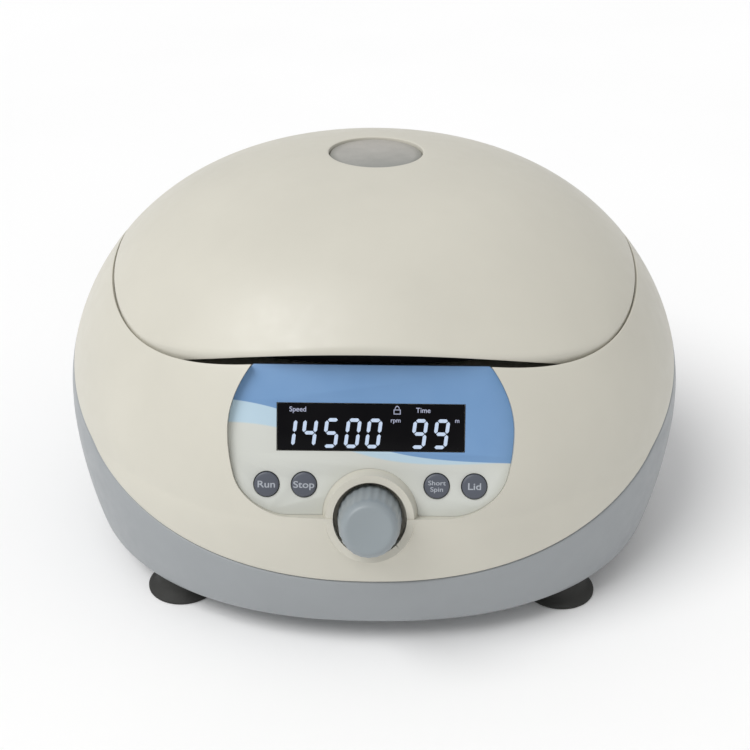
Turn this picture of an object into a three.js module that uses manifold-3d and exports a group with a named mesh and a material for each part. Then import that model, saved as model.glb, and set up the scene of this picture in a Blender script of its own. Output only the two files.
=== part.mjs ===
// Bench-top mini centrifuge for twelve 1.5 / 2 ml tubes, millimetres, +Z up, front towards -Y.
// A cream dome (lid and upper housing) sits in a grey base whose rim rises towards the back.
import * as THREE from 'three';
import { mergeVertices } from 'three/addons/utils/BufferGeometryUtils.js';
import Module from 'manifold-3d';

const wasm = await Module();
wasm.setup();

// ---------------------------------------------------------------------------
// Driving dimensions
// ---------------------------------------------------------------------------

const gap = 0.3;                  // clearance between pieces that touch
const frame_shift_y = 9.4;       // puts the middle of the bounding box on the Y axis

// Outer body: widest at the equator, flat-topped above it, nearly straight below it.
const half_width = 127.5;
const depth_ratio = 0.961;
const top_z = 152.2;
const equator_z = 57.9;
const base_z = 9.5;
const wall = 3;
const upper_round = 2.6025;       // superellipse exponents of the side view above the equator
const upper_rise = 1.8214;
const lower_round = 5;            // and below it
const lower_rise = 1.4844;
const lower_reach = 106.4;
const plan_squareness = 0.28;     // the plan is an ellipse above and slightly squarer at the bottom
const base_edge = 4;              // rounding of the bottom edge
const around = 36;                // facets round the body

// Plane that parts the grey base from the cream housing.
const split_z = 84.6;
const split_slope = 0.4231;

// Lid plan outline.
const lid_half_width = 104;
const lid_half_depth = 99;
const lid_power = 2.5;
const lid_rear_y = 83;
const lid_gap = 0.8;
const lid_rear_gap = 2.2;          // wider, because the rear edge dips as the lid swings up
const lid_bottom_z = 102.6;
const lip_z = 116.9;
const lip_thickness = 1.2;
const lip_drop = 10.6;            // how far the arch of the lip falls to its ends
const finger_half_width = 62;
const finger_y = -84;             // the arch is cut from here to the front
const finger_reach = 30;

// Hinge.
const hinge_y = 88;
const hinge_z = 119.5;
const barrel_r = 6.4;
const trough_r = 7.2;
const trough_outer_r = 10;
const hinge_half = 32;
const knuckle_start = 11.4;
const knuckle_length = 14.2;
const pin_r = 2;
const pin_half = 30.3;
const lug_places = [[-31, 5], [-11, 4], [7, 4], [26, 5]];   // start and length along the hinge
const lug_half = 3.5;
const lug_undercut = 0.5;         // the housing's knuckles are a little slimmer than the lid's
const trough_end_gap = 0.6;

// Deck and rotor chamber.
const spin_y = 8;
const deck_z = 101;
const deck_thickness = 2.5;
const rim_width = 2.5;            // cream wall round the lid opening
const well_rear_y = 90;
const chamber_r = 70;
const chamber_floor_z = 55;
const sheet = 1.5;
const liner_z = 105.5;
const liner_thickness = 2.5;

// Rotor.
const tube_count = 12;
const tube_r = 5.5;
const tube_depth = 35;
const mouth_r = 28.5;
const mouth_z = 90.5;
const rotor_r = 65.5;
const rotor_bottom_z = 59.5;
const hub_bore_r = 6.3;
const shaft_r = 4;

// Control panel: a flat facet, leaning back. Its own axes are u right, v up the slope, w outwards.
const panel_tilt = THREE.MathUtils.degToRad(24);
const panel_y = -102.8;
const panel_z = 88;
const panel_top_v = 24;
const panel_bottom_v = -30;
const panel_half_width = 50.2;
const panel_top_taper = 9;        // how much the half width closes in towards the top
const panel_low_taper = 4.6;      // and towards the bottom
const panel_corner_r = 14;
const panel_recess = 1.5;
const panel_back_w = -4;
const display_width = 66;
const display_height = 16.6;
const display_v = 1.2;
const display_ledge = 1.5;        // the lens rests on this much of the facet
const film = 1.2;                 // thickness of the overlay and of the lens
const button_r = 4.75;
const button_gap = 0.4;
const button_v = -19.4;
const button_outer_u = 36.8;
const button_inner_u = 23.5;
const button_proud = 0.8;
const knob_v = -30.4;
const knob_r = 11.5;
const knob_front_w = 25;
const collar_w = 6.5;
const collar_mouth_r = 13;
const collar_root_r = 18;
const collar_tip_r = 15.5;
const shaft_hole_r = 4.2;
const through = 10;               // half length of a cutter that goes right through the facet
const clear_of_body = 60;         // length of a cutter that goes right out of the body

// Feet.
const foot_x = 75;
const foot_y = 78;
const foot_r = 14;

// Rear connections.
const rear_face_y = 112;
const rear_low_z = 24;
const rear_high_z = 56;
const inlet_x = -20;
const inlet_half_x = 14;
const inlet_half_z = 10;
const inlet_wall = 2;
const switch_x = 24;
const switch_half_x = 11;
const switch_half_z = 8;
const connections_z = 40;
const rear_half_width = 45;
const rear_out_y = 140;           // anything behind the body
const slot_count = 15;
const slot_pitch = 6.4;
const slot_half = 1.3;
const slot_low_z = 66;
const slot_high_z = 88;
const floor_opening_r = 78;
const foot_boss_r = 7;
const foot_boss_top_z = 20;
const foot_bore_r = 1.9;
const foot_bore_top_z = 18.5;

// ---------------------------------------------------------------------------
// Solids: three.js geometry in, manifold solid out, and back
// ---------------------------------------------------------------------------

function solid(geometry) {
  const bare = geometry.index ? geometry.toNonIndexed() : geometry.clone();
  bare.deleteAttribute('normal');
  bare.deleteAttribute('uv');
  const merged = mergeVertices(bare, 1e-4);
  const corners = merged.index.array;
  const kept = [];
  for (let i = 0; i < corners.length; i += 3) {
    const [a, b, c] = [corners[i], corners[i + 1], corners[i + 2]];
    if (a !== b && b !== c && c !== a) kept.push(a, b, c);
  }
  const shape = new wasm.Mesh({
    numProp: 3,
    vertProperties: new Float32Array(merged.attributes.position.array),
    triVerts: new Uint32Array(kept),
  });
  return new wasm.Manifold(shape);
}

function geometryOf(body) {
  const mesh = body.getMesh();
  const geometry = new THREE.BufferGeometry();
  geometry.setAttribute('position', new THREE.BufferAttribute(new Float32Array(mesh.vertProperties), 3));
  geometry.setIndex(new THREE.BufferAttribute(new Uint32Array(mesh.triVerts), 1));
  geometry.computeVertexNormals();
  return geometry;
}

const joined = (bodies) => bodies.reduce((whole, body) => whole.add(body));
const cut = (body, tools) => tools.reduce((rest, tool) => rest.subtract(tool), body);

function box(x0, x1, y0, y1, z0, z1) {
  const geometry = new THREE.BoxGeometry(x1 - x0, y1 - y0, z1 - z0);
  return solid(geometry.translate((x0 + x1) / 2, (y0 + y1) / 2, (z0 + z1) / 2));
}

// Turned piece: points are [radius, height], the height runs along Z.
function turnedGeometry(points, segments = 32) {
  const profile = points.map(([r, z]) => new THREE.Vector2(r, z));
  return new THREE.LatheGeometry(profile, segments).rotateX(Math.PI / 2);
}

// A profile is listed with the material on its left, so its faces point outwards.
const turned = (points, segments) => solid(turnedGeometry(points, segments));

function disc(radius, z0, z1, segments = 32, top_radius = radius) {
  return turned([[0, z0], [radius, z0], [top_radius, z1], [0, z1]], segments);
}

function ring(inner, outer, z0, z1, segments = 32) {
  return turned([[inner, z0], [outer, z0], [outer, z1], [inner, z1], [inner, z0]], segments);
}

function prism(points, z0, z1) {
  const shape = new THREE.Shape(points.map(([x, y]) => new THREE.Vector2(x, y)));
  const geometry = new THREE.ExtrudeGeometry(shape, { depth: z1 - z0, bevelEnabled: false });
  return solid(geometry.translate(0, 0, z0));
}

function moved(body, matrix) {
  return solid(geometryOf(body).applyMatrix4(matrix));
}

const shifted = (body, x, y, z) => moved(body, new THREE.Matrix4().makeTranslation(x, y, z));

// Rod along X.
function rod(radius, x0, x1, y, z, segments = 16) {
  const along_x = new THREE.Matrix4().makeRotationY(Math.PI / 2).setPosition(0, y, z);
  return moved(disc(radius, x0, x1, segments), along_x);
}

const panel_matrix = new THREE.Matrix4()
  .makeRotationX(Math.PI / 2 - panel_tilt)
  .setPosition(0, panel_y, panel_z);
const onPanel = (body) => moved(body, panel_matrix);

// ---------------------------------------------------------------------------
// Scene graph
// ---------------------------------------------------------------------------

const group = new THREE.Group();
group.position.y = frame_shift_y;
const panel_frame = new THREE.Group();
panel_frame.applyMatrix4(panel_matrix);
group.add(panel_frame);

function finish(colour, roughness, metalness = 0) {
  return () => new THREE.MeshStandardMaterial({ color: colour, roughness, metalness });
}

const cream_plastic = finish(0xd7d3c6, 0.45);
const grey_plastic = finish(0x9aa0a4, 0.45);
const dark_plastic = finish(0x2c2d2f, 0.55);
const white_plastic = finish(0xd6d8d2, 0.4);
const black_rubber = finish(0x1c1c1b, 0.85);
const steel = finish(0xa9acae, 0.32, 1);
const aluminium = finish(0xb9bcbf, 0.38, 1);
const board_green = finish(0x1f5a36, 0.6);

function part(name, body, material, parent = group) {
  const mesh = new THREE.Mesh(geometryOf(body), material());
  mesh.name = name;
  parent.add(mesh);
  return mesh;
}

// ---------------------------------------------------------------------------
// The body surface
// ---------------------------------------------------------------------------

// Side-view outline from the bottom centre to the top centre, drawn in by an inset.
function bodyProfile(inset) {
  const r0 = half_width - inset;
  const rise = top_z - inset - equator_z;
  const floor_z = base_z + inset;
  const lowerRadius = (z) => {
    const share = ((equator_z - z) / lower_reach) ** lower_rise;
    return r0 * (1 - share) ** (1 / lower_round);
  };
  const points = [[0, floor_z]];
  for (let step = 0; step <= 2; step += 1) {
    const turn = (step / 2) * Math.PI / 2;
    const z = floor_z + base_edge * (1 - Math.cos(turn));
    points.push([lowerRadius(z) - base_edge * (1 - Math.sin(turn)), z]);
  }
  for (let step = 1; step <= 2; step += 1) {
    const z = floor_z + base_edge + (step / 2) * (equator_z - floor_z - base_edge);
    points.push([lowerRadius(z), z]);
  }
  const rings = 8;
  for (let step = 1; step < rings; step += 1) {
    const turn = (step / rings) * Math.PI / 2;
    const r = r0 * Math.cos(turn) ** (2 / upper_round);
    points.push([r, equator_z + rise * Math.sin(turn) ** (2 / upper_rise)]);
  }
  points.push([0, equator_z + rise]);
  return points;
}

function planFactor(angle, z) {
  const depth = THREE.MathUtils.clamp((equator_z - z) / (equator_z - base_z), 0, 1);
  const power = 2 + plan_squareness * depth ** 0.7;
  const sum = Math.abs(Math.cos(angle)) ** power + Math.abs(Math.sin(angle)) ** power;
  return sum ** (-1 / power);
}

function bodySolid(inset) {
  const geometry = turnedGeometry(bodyProfile(inset), around);
  const place = geometry.attributes.position;
  for (let i = 0; i < place.count; i += 1) {
    const [x, y, z] = [place.getX(i), place.getY(i), place.getZ(i)];
    const angle = Math.atan2(y, x);
    const r = Math.hypot(x, y) * planFactor(angle, z);
    place.setXYZ(i, r * Math.cos(angle), depth_ratio * r * Math.sin(angle), z);
  }
  return solid(geometry);
}

// Everything above the parting plane, lifted by an offset.
function aboveSplit(offset) {
  const size = 400;
  const block = new THREE.BoxGeometry(size, size, size).translate(0, 0, size / 2);
  const tilt = Math.atan(split_slope);
  const matrix = new THREE.Matrix4().makeRotationX(tilt).setPosition(0, 0, split_z + offset);
  return solid(block.applyMatrix4(matrix));
}

// Lid plan: a superellipse, cut straight at the back.
function lidOutline(grow, rear_y, shrink_front = 0) {
  const a = lid_half_width + grow;
  const b = lid_half_depth + grow;
  const steps = 36;
  const points = [];
  for (let step = 0; step < steps; step += 1) {
    const angle = (step / steps) * 2 * Math.PI;
    const [c, s] = [Math.cos(angle), Math.sin(angle)];
    const x = a * Math.sign(c) * Math.abs(c) ** (2 / lid_power);
    const depth = s < 0 ? b - shrink_front : b;
    const y = depth * Math.sign(s) * Math.abs(s) ** (2 / lid_power);
    if (y < rear_y) points.push([x, y]);
    const edge = rear_y / b;
    const corner_x = a * (1 - edge ** lid_power) ** (1 / lid_power);
    const next = Math.sin(((step + 1) / steps) * 2 * Math.PI);
    const next_y = b * Math.sign(next) * Math.abs(next) ** (2 / lid_power);
    if (y < rear_y && next_y >= rear_y) points.push([corner_x, rear_y]);
    if (y >= rear_y && next_y < rear_y) points.push([-corner_x, rear_y]);
  }
  return points;
}

const outer_body = bodySolid(0);
const inner_body = bodySolid(wall);
const clear_inner_body = bodySolid(wall + 2 * gap);

// ---------------------------------------------------------------------------
// Control panel outline, in panel axes
// ---------------------------------------------------------------------------

// Half width of the facet: widest just below the display, closing in with round lower corners.
function panelHalfWidth(v) {
  const round = panel_corner_r;
  const from_middle = v / panel_top_v;
  const taper = v > 0 ? panel_top_taper : panel_low_taper;
  const bulge = panel_half_width - taper * from_middle ** 2;
  const into_corner = panel_bottom_v + round - v;
  if (into_corner <= 0) return bulge;
  return bulge - round * (1 - Math.sqrt(1 - Math.min(into_corner / round, 1) ** 2));
}

function panelOutline(grow, top_v = panel_top_v) {
  const rows = 8;
  const right = [];
  for (let row = 0; row <= rows; row += 1) {
    const rise = 1 - Math.cos((row / rows) * Math.PI / 2);
    const v = panel_bottom_v + rise * (panel_top_v - panel_bottom_v);
    right.push([panelHalfWidth(v) + grow, v - grow * (1 - rise)]);
  }
  right.push([panelHalfWidth(panel_top_v) + grow, top_v]);
  const left = right.map(([u, v]) => [-u, v]).reverse();
  return [...right, ...left];
}

// ---------------------------------------------------------------------------
// Upper housing: cream shell, well and deck round the chamber, facet, hinge trough
// ---------------------------------------------------------------------------

function wellPrism(grow, z0, z1) {
  const outline = prism(lidOutline(lid_gap + grow, lid_rear_y + lid_rear_gap + grow), z0, z1);
  const hinge_half_grown = hinge_half + grow;
  return outline.add(box(-hinge_half_grown, hinge_half_grown, 0, well_rear_y + grow, z0, z1));
}

// The front edge of the lid arches up over the panel to let fingers in. In front view the arch is a
// parabola; below is what the lid leaves out, above is what the housing leaves out.
function archZ(x) {
  return lip_z - lip_thickness - lip_drop * (x / finger_half_width) ** 2;
}

function archBlock(far_z, offset) {
  const steps = 10;
  const curve = [];
  for (let step = 0; step <= steps; step += 1) {
    const x = finger_half_width * (2 * step / steps - 1);
    curve.push([x, archZ(x) + offset]);
  }
  const outline = [[-finger_half_width, far_z], ...curve, [finger_half_width, far_z]];
  const upright = new THREE.Matrix4().makeRotationX(Math.PI / 2).setPosition(0, finger_y, 0);
  return moved(prism(far_z > lip_z ? outline.reverse() : outline, 0, finger_reach), upright);
}

// Drum that stands out of the facet and carries the knob pocket.
function knobBoss() {
  return shifted(disc(collar_root_r, panel_back_w - 1, collar_w, 32, collar_tip_r), 0, knob_v, 0);
}

function hingeBarrels(starts, length) {
  return joined(starts.map((x) => rod(barrel_r, x, x + length, hinge_y, hinge_z)));
}

// Knuckle of the housing, standing on the floor of the trough.
function hingeLug(x, length) {
  const foot_z = hinge_z - trough_outer_r + 1;
  const foot = box(x, x + length, hinge_y - lug_half, hinge_y + lug_half, foot_z, hinge_z);
  return rod(barrel_r - lug_undercut, x, x + length, hinge_y, hinge_z).add(foot);
}

const buttons = [
  ['run', -button_outer_u],
  ['stop', -button_inner_u],
  ['short_spin', button_inner_u],
  ['lid', button_outer_u],
];

function upperHousing() {
  const top = top_z + 10;
  const shell = outer_body.intersect(aboveSplit(gap / 2)).subtract(inner_body)
    .subtract(wellPrism(0, deck_z - deck_thickness + 0.5, top));
  const tub = wellPrism(rim_width, deck_z - deck_thickness, top)
    .subtract(wellPrism(0, deck_z, top))
    .intersect(outer_body);
  const facet_block = onPanel(prism(panelOutline(3), panel_back_w, 20))
    .intersect(outer_body)
    .subtract(wellPrism(0, 90, top).intersect(archBlock(top, -1)));
  const trough_half = hinge_half + trough_end_gap;
  const trough = rod(trough_outer_r, -trough_half, trough_half, hinge_y, hinge_z, 24).intersect(outer_body);
  const lugs = joined(lug_places.map(([x, length]) => hingeLug(x, length)));
  const shell_with_facet = cut(joined([shell, tub, facet_block, trough]), [
    onPanel(prism(panelOutline(gap, clear_of_body), -panel_recess, clear_of_body)),
    rod(trough_r, trough_end_gap - hinge_half, hinge_half - trough_end_gap, hinge_y, hinge_z, 24),
    box(-trough_half - 1, trough_half + 1, 70, lid_rear_y + lid_rear_gap, hinge_z - 7, top),
    box(-hinge_half, hinge_half, 70, hinge_y + 1, hinge_z - 2, top),
  ]).add(lugs);
  const display_hole = box(
    -display_width / 2 + display_ledge,
    display_width / 2 - display_ledge,
    display_v - display_height / 2 + display_ledge,
    display_v + display_height / 2 - display_ledge,
    -through,
    through,
  );
  const button_hole = disc(button_r + button_gap, -through, through, 16);
  const button_holes = buttons.map(([, u]) => shifted(button_hole, u, button_v, 0));
  const knob_pocket = shifted(disc(collar_mouth_r, -panel_recess, clear_of_body, 32), 0, knob_v, 0);
  const shaft_hole = shifted(disc(shaft_hole_r, -20, 0, 14), 0, knob_v, 0);
  const chamber_mouth = shifted(disc(chamber_r + 1, deck_z - through, deck_z + through, 36), 0, spin_y, 0);
  const latch_slot = box(-4, 4, -87.5, -74.2, deck_z - through, deck_z + through);
  return cut(shell_with_facet.add(onPanel(knobBoss())), [
    ...[display_hole, knob_pocket, shaft_hole, ...button_holes].map(onPanel),
    chamber_mouth,
    latch_slot,
    rod(pin_r + gap, -pin_half - gap, pin_half + gap, hinge_y, hinge_z),
  ]);
}

// ---------------------------------------------------------------------------
// Base: grey shell with a recessed rear face, vents, bottom plate, feet
// ---------------------------------------------------------------------------

function rearSlots() {
  const slots = [];
  for (let column = 0; column < slot_count; column += 1) {
    const x = (column - (slot_count - 1) / 2) * slot_pitch;
    slots.push(box(x - slot_half, x + slot_half, hinge_y - 8, rear_out_y, slot_low_z, slot_high_z));
  }
  return slots;
}

function footPlaces() {
  return [
    ['front_left', -foot_x, -foot_y],
    ['front_right', foot_x, -foot_y],
    ['rear_left', -foot_x, foot_y],
    ['rear_right', foot_x, foot_y],
  ];
}

function baseShell() {
  const below = outer_body.subtract(aboveSplit(-gap / 2));
  const block_half = rear_half_width + wall;
  const rear_block = box(
    -block_half,
    block_half,
    rear_face_y - wall,
    rear_out_y,
    rear_low_z - wall,
    rear_high_z + wall,
  ).intersect(outer_body);
  const boss = disc(foot_boss_r, base_z + 1, foot_boss_top_z, 12);
  const bosses = footPlaces().map(([, x, y]) => shifted(boss, x, y, 0));
  const screw_bore = disc(foot_bore_r, 0, foot_bore_top_z, 8);
  const connectionHole = (x, half_x, half_z) => box(
    x - half_x,
    x + half_x,
    hinge_y,
    rear_out_y,
    connections_z - half_z,
    connections_z + half_z,
  );
  const shell = below.subtract(inner_body).add(rear_block);
  return cut(joined([shell, ...bosses]), [
    box(-rear_half_width, rear_half_width, rear_face_y, rear_out_y, rear_low_z, rear_high_z),
    connectionHole(inlet_x, inlet_half_x + gap, inlet_half_z + gap),
    connectionHole(switch_x, switch_half_x + gap, switch_half_z + gap),
    ...rearSlots(),
    wellPrism(rim_width + 0.4, deck_z - deck_thickness - gap, top_z + 10),
    disc(floor_opening_r, 0, base_z + wall + 1.5, 28),
    ...footPlaces().map(([, x, y]) => shifted(screw_bore, x, y, 0)),
    rod(trough_outer_r + 0.4, -hinge_half - 1, hinge_half + 1, hinge_y, hinge_z, 24),
  ]);
}

function bottomPlate() {
  const slots = [];
  for (const side of [-1, 1]) {
    for (let row = 0; row < 5; row += 1) {
      const y = -24 + row * 12;
      slots.push(box(side * 62 - 9, side * 62 + 9, y - 1.5, y + 1.5, 0, 30));
    }
  }
  return cut(disc(88, base_z + wall + gap, base_z + wall + gap + 2, 28), slots);
}

function rubberFoot() {
  return cut(
    turned([[0, 0], [foot_r, 0], [foot_r, 1.2], [10.5, 4], [9.5, base_z - gap], [0, base_z - gap]], 16),
    [disc(4.4, -1, 5, 8), disc(foot_bore_r, 0, 12, 8)],
  );
}

function footScrew() {
  return turned([[0, 1.8], [3.6, 1.8], [3.6, 4.4], [1.5, 4.4 + gap], [1.5, 17.5], [0, 17.5]], 10);
}

// ---------------------------------------------------------------------------
// Rotor chamber, drive and rotor, all turned about the spin axis
// ---------------------------------------------------------------------------

function chamberBowl() {
  const r = chamber_r;
  const z = chamber_floor_z;
  const flange_z = deck_z - deck_thickness - gap;
  return turned([
    [12, z - sheet],
    [r - 6, z - sheet],
    [r - 1, z + 3],
    [r + sheet, flange_z - sheet - 6],
    [r + sheet, flange_z - sheet],
    [r + 10, flange_z - sheet],
    [r + 10, flange_z],
    [r, flange_z],
    [r, flange_z - 8],
    [r - 2.5, z + 4],
    [r - 7, z],
    [13.5, z],
    [13.5, z + 3],
    [12, z + 3],
    [12, z - sheet],
  ], 28);
}

function rotorBody() {
  const rim_z = mouth_z + 11;
  const blank = turned([
    [hub_bore_r, rotor_bottom_z],
    [57, rotor_bottom_z],
    [rotor_r, rotor_bottom_z + 8],
    [rotor_r, rotor_bottom_z + 18],
    [mouth_r + 14, rim_z],
    [mouth_r + 11, rim_z],
    [mouth_r - 11, mouth_z - 11],
    [mouth_r - 13.5, mouth_z - 11],
    [mouth_r - 13.5, mouth_z + 1],
    [hub_bore_r, mouth_z + 1],
    [hub_bore_r, rotor_bottom_z],
  ], 30);
  const bores = [];
  for (let place = 0; place < tube_count; place += 1) {
    const bore = new THREE.Matrix4().makeRotationZ((place / tube_count) * 2 * Math.PI)
      .multiply(new THREE.Matrix4().makeTranslation(mouth_r, 0, mouth_z))
      .multiply(new THREE.Matrix4().makeRotationY(Math.PI * 0.75));
    bores.push(moved(disc(tube_r, -12, tube_depth, 10), bore));
  }
  return cut(blank, bores);
}

const motor_low_z = 18;
const motor_high_z = 50;
const motor_r = 32;
const mount_z = 30.5;

function motorHousing() {
  return turned([
    [7.6, motor_low_z],
    [motor_r, motor_low_z],
    [motor_r, mount_z + 3.4],
    [motor_r + 9, mount_z + 3.4],
    [motor_r + 9, mount_z + 6.4],
    [motor_r, mount_z + 6.4],
    [motor_r, motor_high_z],
    [7.6, motor_high_z],
    [7.6, motor_high_z - 3],
    [motor_r - 3, motor_high_z - 3],
    [motor_r - 3, motor_low_z + 3],
    [7.6, motor_low_z + 3],
    [7.6, motor_low_z],
  ], 24);
}

// Shaft with a shoulder that carries the rotor and a threaded end for its nut.
function rotorShaft() {
  return turned([
    [0, motor_low_z],
    [shaft_r, motor_low_z],
    [shaft_r, motor_high_z + 1],
    [9, motor_high_z + 6],
    [9, rotor_bottom_z - gap],
    [hub_bore_r - gap, rotor_bottom_z - gap],
    [hub_bore_r - gap, mouth_z - 4],
    [3, mouth_z - 3],
    [3, mouth_z + 7],
    [0, mouth_z + 7],
  ], 18);
}

function rotorNut() {
  const z = mouth_z + 1 + gap;
  return turned([
    [3 + gap, z],
    [11, z],
    [11, z + 4],
    [8.5, z + 9],
    [0, z + 10.5],
    [0, z + 7],
    [3 + gap, z + 7],
    [3 + gap, z],
  ], 24);
}

// ---------------------------------------------------------------------------
// Lid
// ---------------------------------------------------------------------------

const window_r = 18.7;
const window_z = 150.3;
const window_thickness = 2.4;
const well_tube_r = 20.5;

function lidShell() {
  const top = top_z + 10;
  const starts = [-knuckle_start - knuckle_length, knuckle_start];
  const tongues = starts.map((x) => box(x, x + knuckle_length, 70, hinge_y, hinge_z, top));
  const plan = prism(lidOutline(0, lid_rear_y), lid_bottom_z, top).add(joined(tongues));
  const shell = outer_body.intersect(plan).subtract(inner_body);
  const seat_z = window_z - window_thickness - gap;
  const window_seat = shifted(disc(window_r + 4, seat_z - 2, top, 32), 0, spin_y, 0).intersect(outer_body);
  return cut(joined([shell, window_seat, hingeBarrels(starts, knuckle_length)]), [
    shifted(disc(window_r + gap, seat_z, top, 32), 0, spin_y, 0),
    shifted(disc(window_r - 1.6, 120, top, 32), 0, spin_y, 0),
    archBlock(80, 0),
    rod(pin_r + gap, -50, 50, hinge_y, hinge_z),
  ]);
}

// Inner cover of the lid: a tray with a rim that reaches the shell, and a hole for the sight tube.
function lidLiner() {
  const inset = -10;
  const front = 3;
  const top = top_z;
  const plate = prism(lidOutline(inset, lid_rear_y, front), liner_z, liner_z + liner_thickness);
  const rim = prism(lidOutline(inset, 68, front), liner_z, top)
    .subtract(prism(lidOutline(inset - 2, 66, front), liner_z - 1, top))
    .intersect(clear_inner_body);
  const tube_hole = shifted(disc(well_tube_r + 2 + gap, liner_z - 1, top, 28), 0, spin_y, 0);
  return plate.add(rim).subtract(tube_hole);
}

// Tube under the window, with a flange that rests on the tray.
function sightTube() {
  const flange_z = liner_z + liner_thickness + gap;
  const tube = ring(well_tube_r, well_tube_r + 2, liner_z, 144, 28);
  return tube.add(ring(well_tube_r + 1, well_tube_r + 6, flange_z, flange_z + 2, 28));
}

// ---------------------------------------------------------------------------
// Latch: a steel tongue on the lid, and a bolt that a solenoid slides through it
// ---------------------------------------------------------------------------

const latch_y = -79.5;
const latch_z = 93;
const bolt_r = 2;
const latch_eye_r = 3.2;

function latchHook() {
  const half = latch_eye_r + 1.8;
  const tongue = box(-1.5, 1.5, latch_y - half, latch_y + half, latch_z - half, liner_z - gap);
  const flange = box(-8, 8, latch_y - half, latch_y + half, liner_z - gap - 1.8, liner_z - gap);
  return tongue.add(flange).subtract(rod(latch_eye_r, -3, 3, latch_y, latch_z, 16));
}

function latchSolenoid() {
  const body = box(-44, -16.3, latch_y - 4.5, latch_y + 4.5, latch_z - 6, latch_z + 3.2);
  return body.subtract(rod(bolt_r + gap, -29, -10, latch_y, latch_z, 12));
}

// ---------------------------------------------------------------------------
// Hinge pin and its coil spring
// ---------------------------------------------------------------------------

class Helix extends THREE.Curve {
  constructor(radius, turns, length) {
    super();
    Object.assign(this, { radius, turns, length });
  }

  getPoint(t, target = new THREE.Vector3()) {
    const angle = t * this.turns * 2 * Math.PI;
    const x = (t - 0.5) * this.length;
    return target.set(x, this.radius * Math.cos(angle), this.radius * Math.sin(angle));
  }
}

function hingeSpring() {
  const wire = new THREE.Shape();
  wire.absarc(0, 0, 0.6, 0, 2 * Math.PI);
  const turns = 5;
  const geometry = new THREE.ExtrudeGeometry(wire, {
    extrudePath: new Helix(4.2, turns, 12),
    steps: turns * 9,
    curveSegments: 3,
    bevelEnabled: false,
  });
  return shifted(solid(geometry), 0, hinge_y, hinge_z);
}

// ---------------------------------------------------------------------------
// Control panel pieces, in panel axes
// ---------------------------------------------------------------------------

function controlPanel() {
  const half_w = display_width / 2 + gap;
  const half_h = display_height / 2 + gap;
  return cut(prism(panelOutline(0), -film, 0), [
    box(-clear_of_body, clear_of_body, panel_top_v - film, clear_of_body, -through, through),
    box(-half_w, half_w, display_v - half_h, display_v + half_h, -3, 3),
    shifted(disc(collar_root_r - 0.7, -3, 3, 32), 0, knob_v, 0),
    ...buttons.map(([, u]) => shifted(disc(button_r + button_gap, -3, 3, 16), u, button_v, 0)),
  ]);
}

function buttonCap() {
  return turned([
    [0, -6.3],
    [5.8, -6.3],
    [5.8, -4.6],
    [button_r, -4.6],
    [button_r, button_proud - 0.4],
    [button_r - 0.5, button_proud],
    [0, button_proud + 0.2],
  ], 18);
}

const board_w = -12;
const encoder_back_w = board_w + gap;

function controlBoard() {
  const board = box(-44, 44, -41, 6, board_w - 1.6, board_w);
  const switches = buttons.map(([, u]) => box(u - 3, u + 3, button_v - 3, button_v + 3, board_w - 0.5, -7.7));
  return joined([board, ...switches]);
}

function encoderBody() {
  const body = box(-6.2, 6.2, knob_v - 6.2, knob_v + 6.2, encoder_back_w, -5.3);
  const bush = shifted(disc(3.9, -6, -0.8, 14), 0, knob_v, 0);
  return body.add(bush).subtract(shifted(disc(3.2, -11.2, 1, 14), 0, knob_v, 0));
}

const knob_back_w = 0.8;
const knob_bore_w = 18.4;

function knobCap() {
  return turned([
    [3.2, knob_back_w],
    [knob_r, knob_back_w],
    [knob_r - 0.5, knob_front_w - 6],
    [knob_r - 1.2, knob_front_w - 2.2],
    [knob_r - 2.4, knob_front_w - 0.5],
    [0, knob_front_w],
    [0, knob_bore_w],
    [3.2, knob_bore_w],
    [3.2, knob_back_w],
  ], 28);
}

// ---------------------------------------------------------------------------
// Rear connections
// ---------------------------------------------------------------------------

const pin_spacing = 7;
const inlet_floor_y = 96;

function powerInlet() {
  const [x, z] = [inlet_x, connections_z];
  const [half_x, half_z] = [inlet_half_x, inlet_half_z];
  const [far_x, far_z] = [half_x + wall, half_z + wall];
  const [in_x, in_z] = [half_x - inlet_wall, half_z - inlet_wall];
  const body = box(x - half_x, x + half_x, inlet_floor_y - 4, rear_face_y + 2, z - half_z, z + half_z);
  const flange = box(x - far_x, x + far_x, rear_face_y + gap, rear_face_y + 2.3, z - far_z, z + far_z);
  return body.add(flange).subtract(box(x - in_x, x + in_x, inlet_floor_y, rear_out_y, z - in_z, z + in_z));
}

function inletPin(x, z) {
  return box(x - 1, x + 1, inlet_floor_y + gap, rear_face_y, z - 2.2, z + 2.2);
}

function switchFrame() {
  const [x, z] = [switch_x, connections_z];
  const [half_x, half_z] = [switch_half_x, switch_half_z];
  const [far_x, far_z] = [half_x + 1.6, half_z + 1.6];
  const [in_x, in_z] = [half_x - 2, half_z - 1.4];
  const body = box(x - half_x, x + half_x, inlet_floor_y, rear_face_y + 1.6, z - half_z, z + half_z);
  const flange = box(x - far_x, x + far_x, rear_face_y + gap, rear_face_y + 1.8, z - far_z, z + far_z);
  return body.add(flange).subtract(box(x - in_x, x + in_x, rear_face_y - 12, rear_out_y, z - in_z, z + in_z));
}

const rocker_tilt = THREE.MathUtils.degToRad(8);
const rocker_y = rear_face_y - 2;

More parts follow.
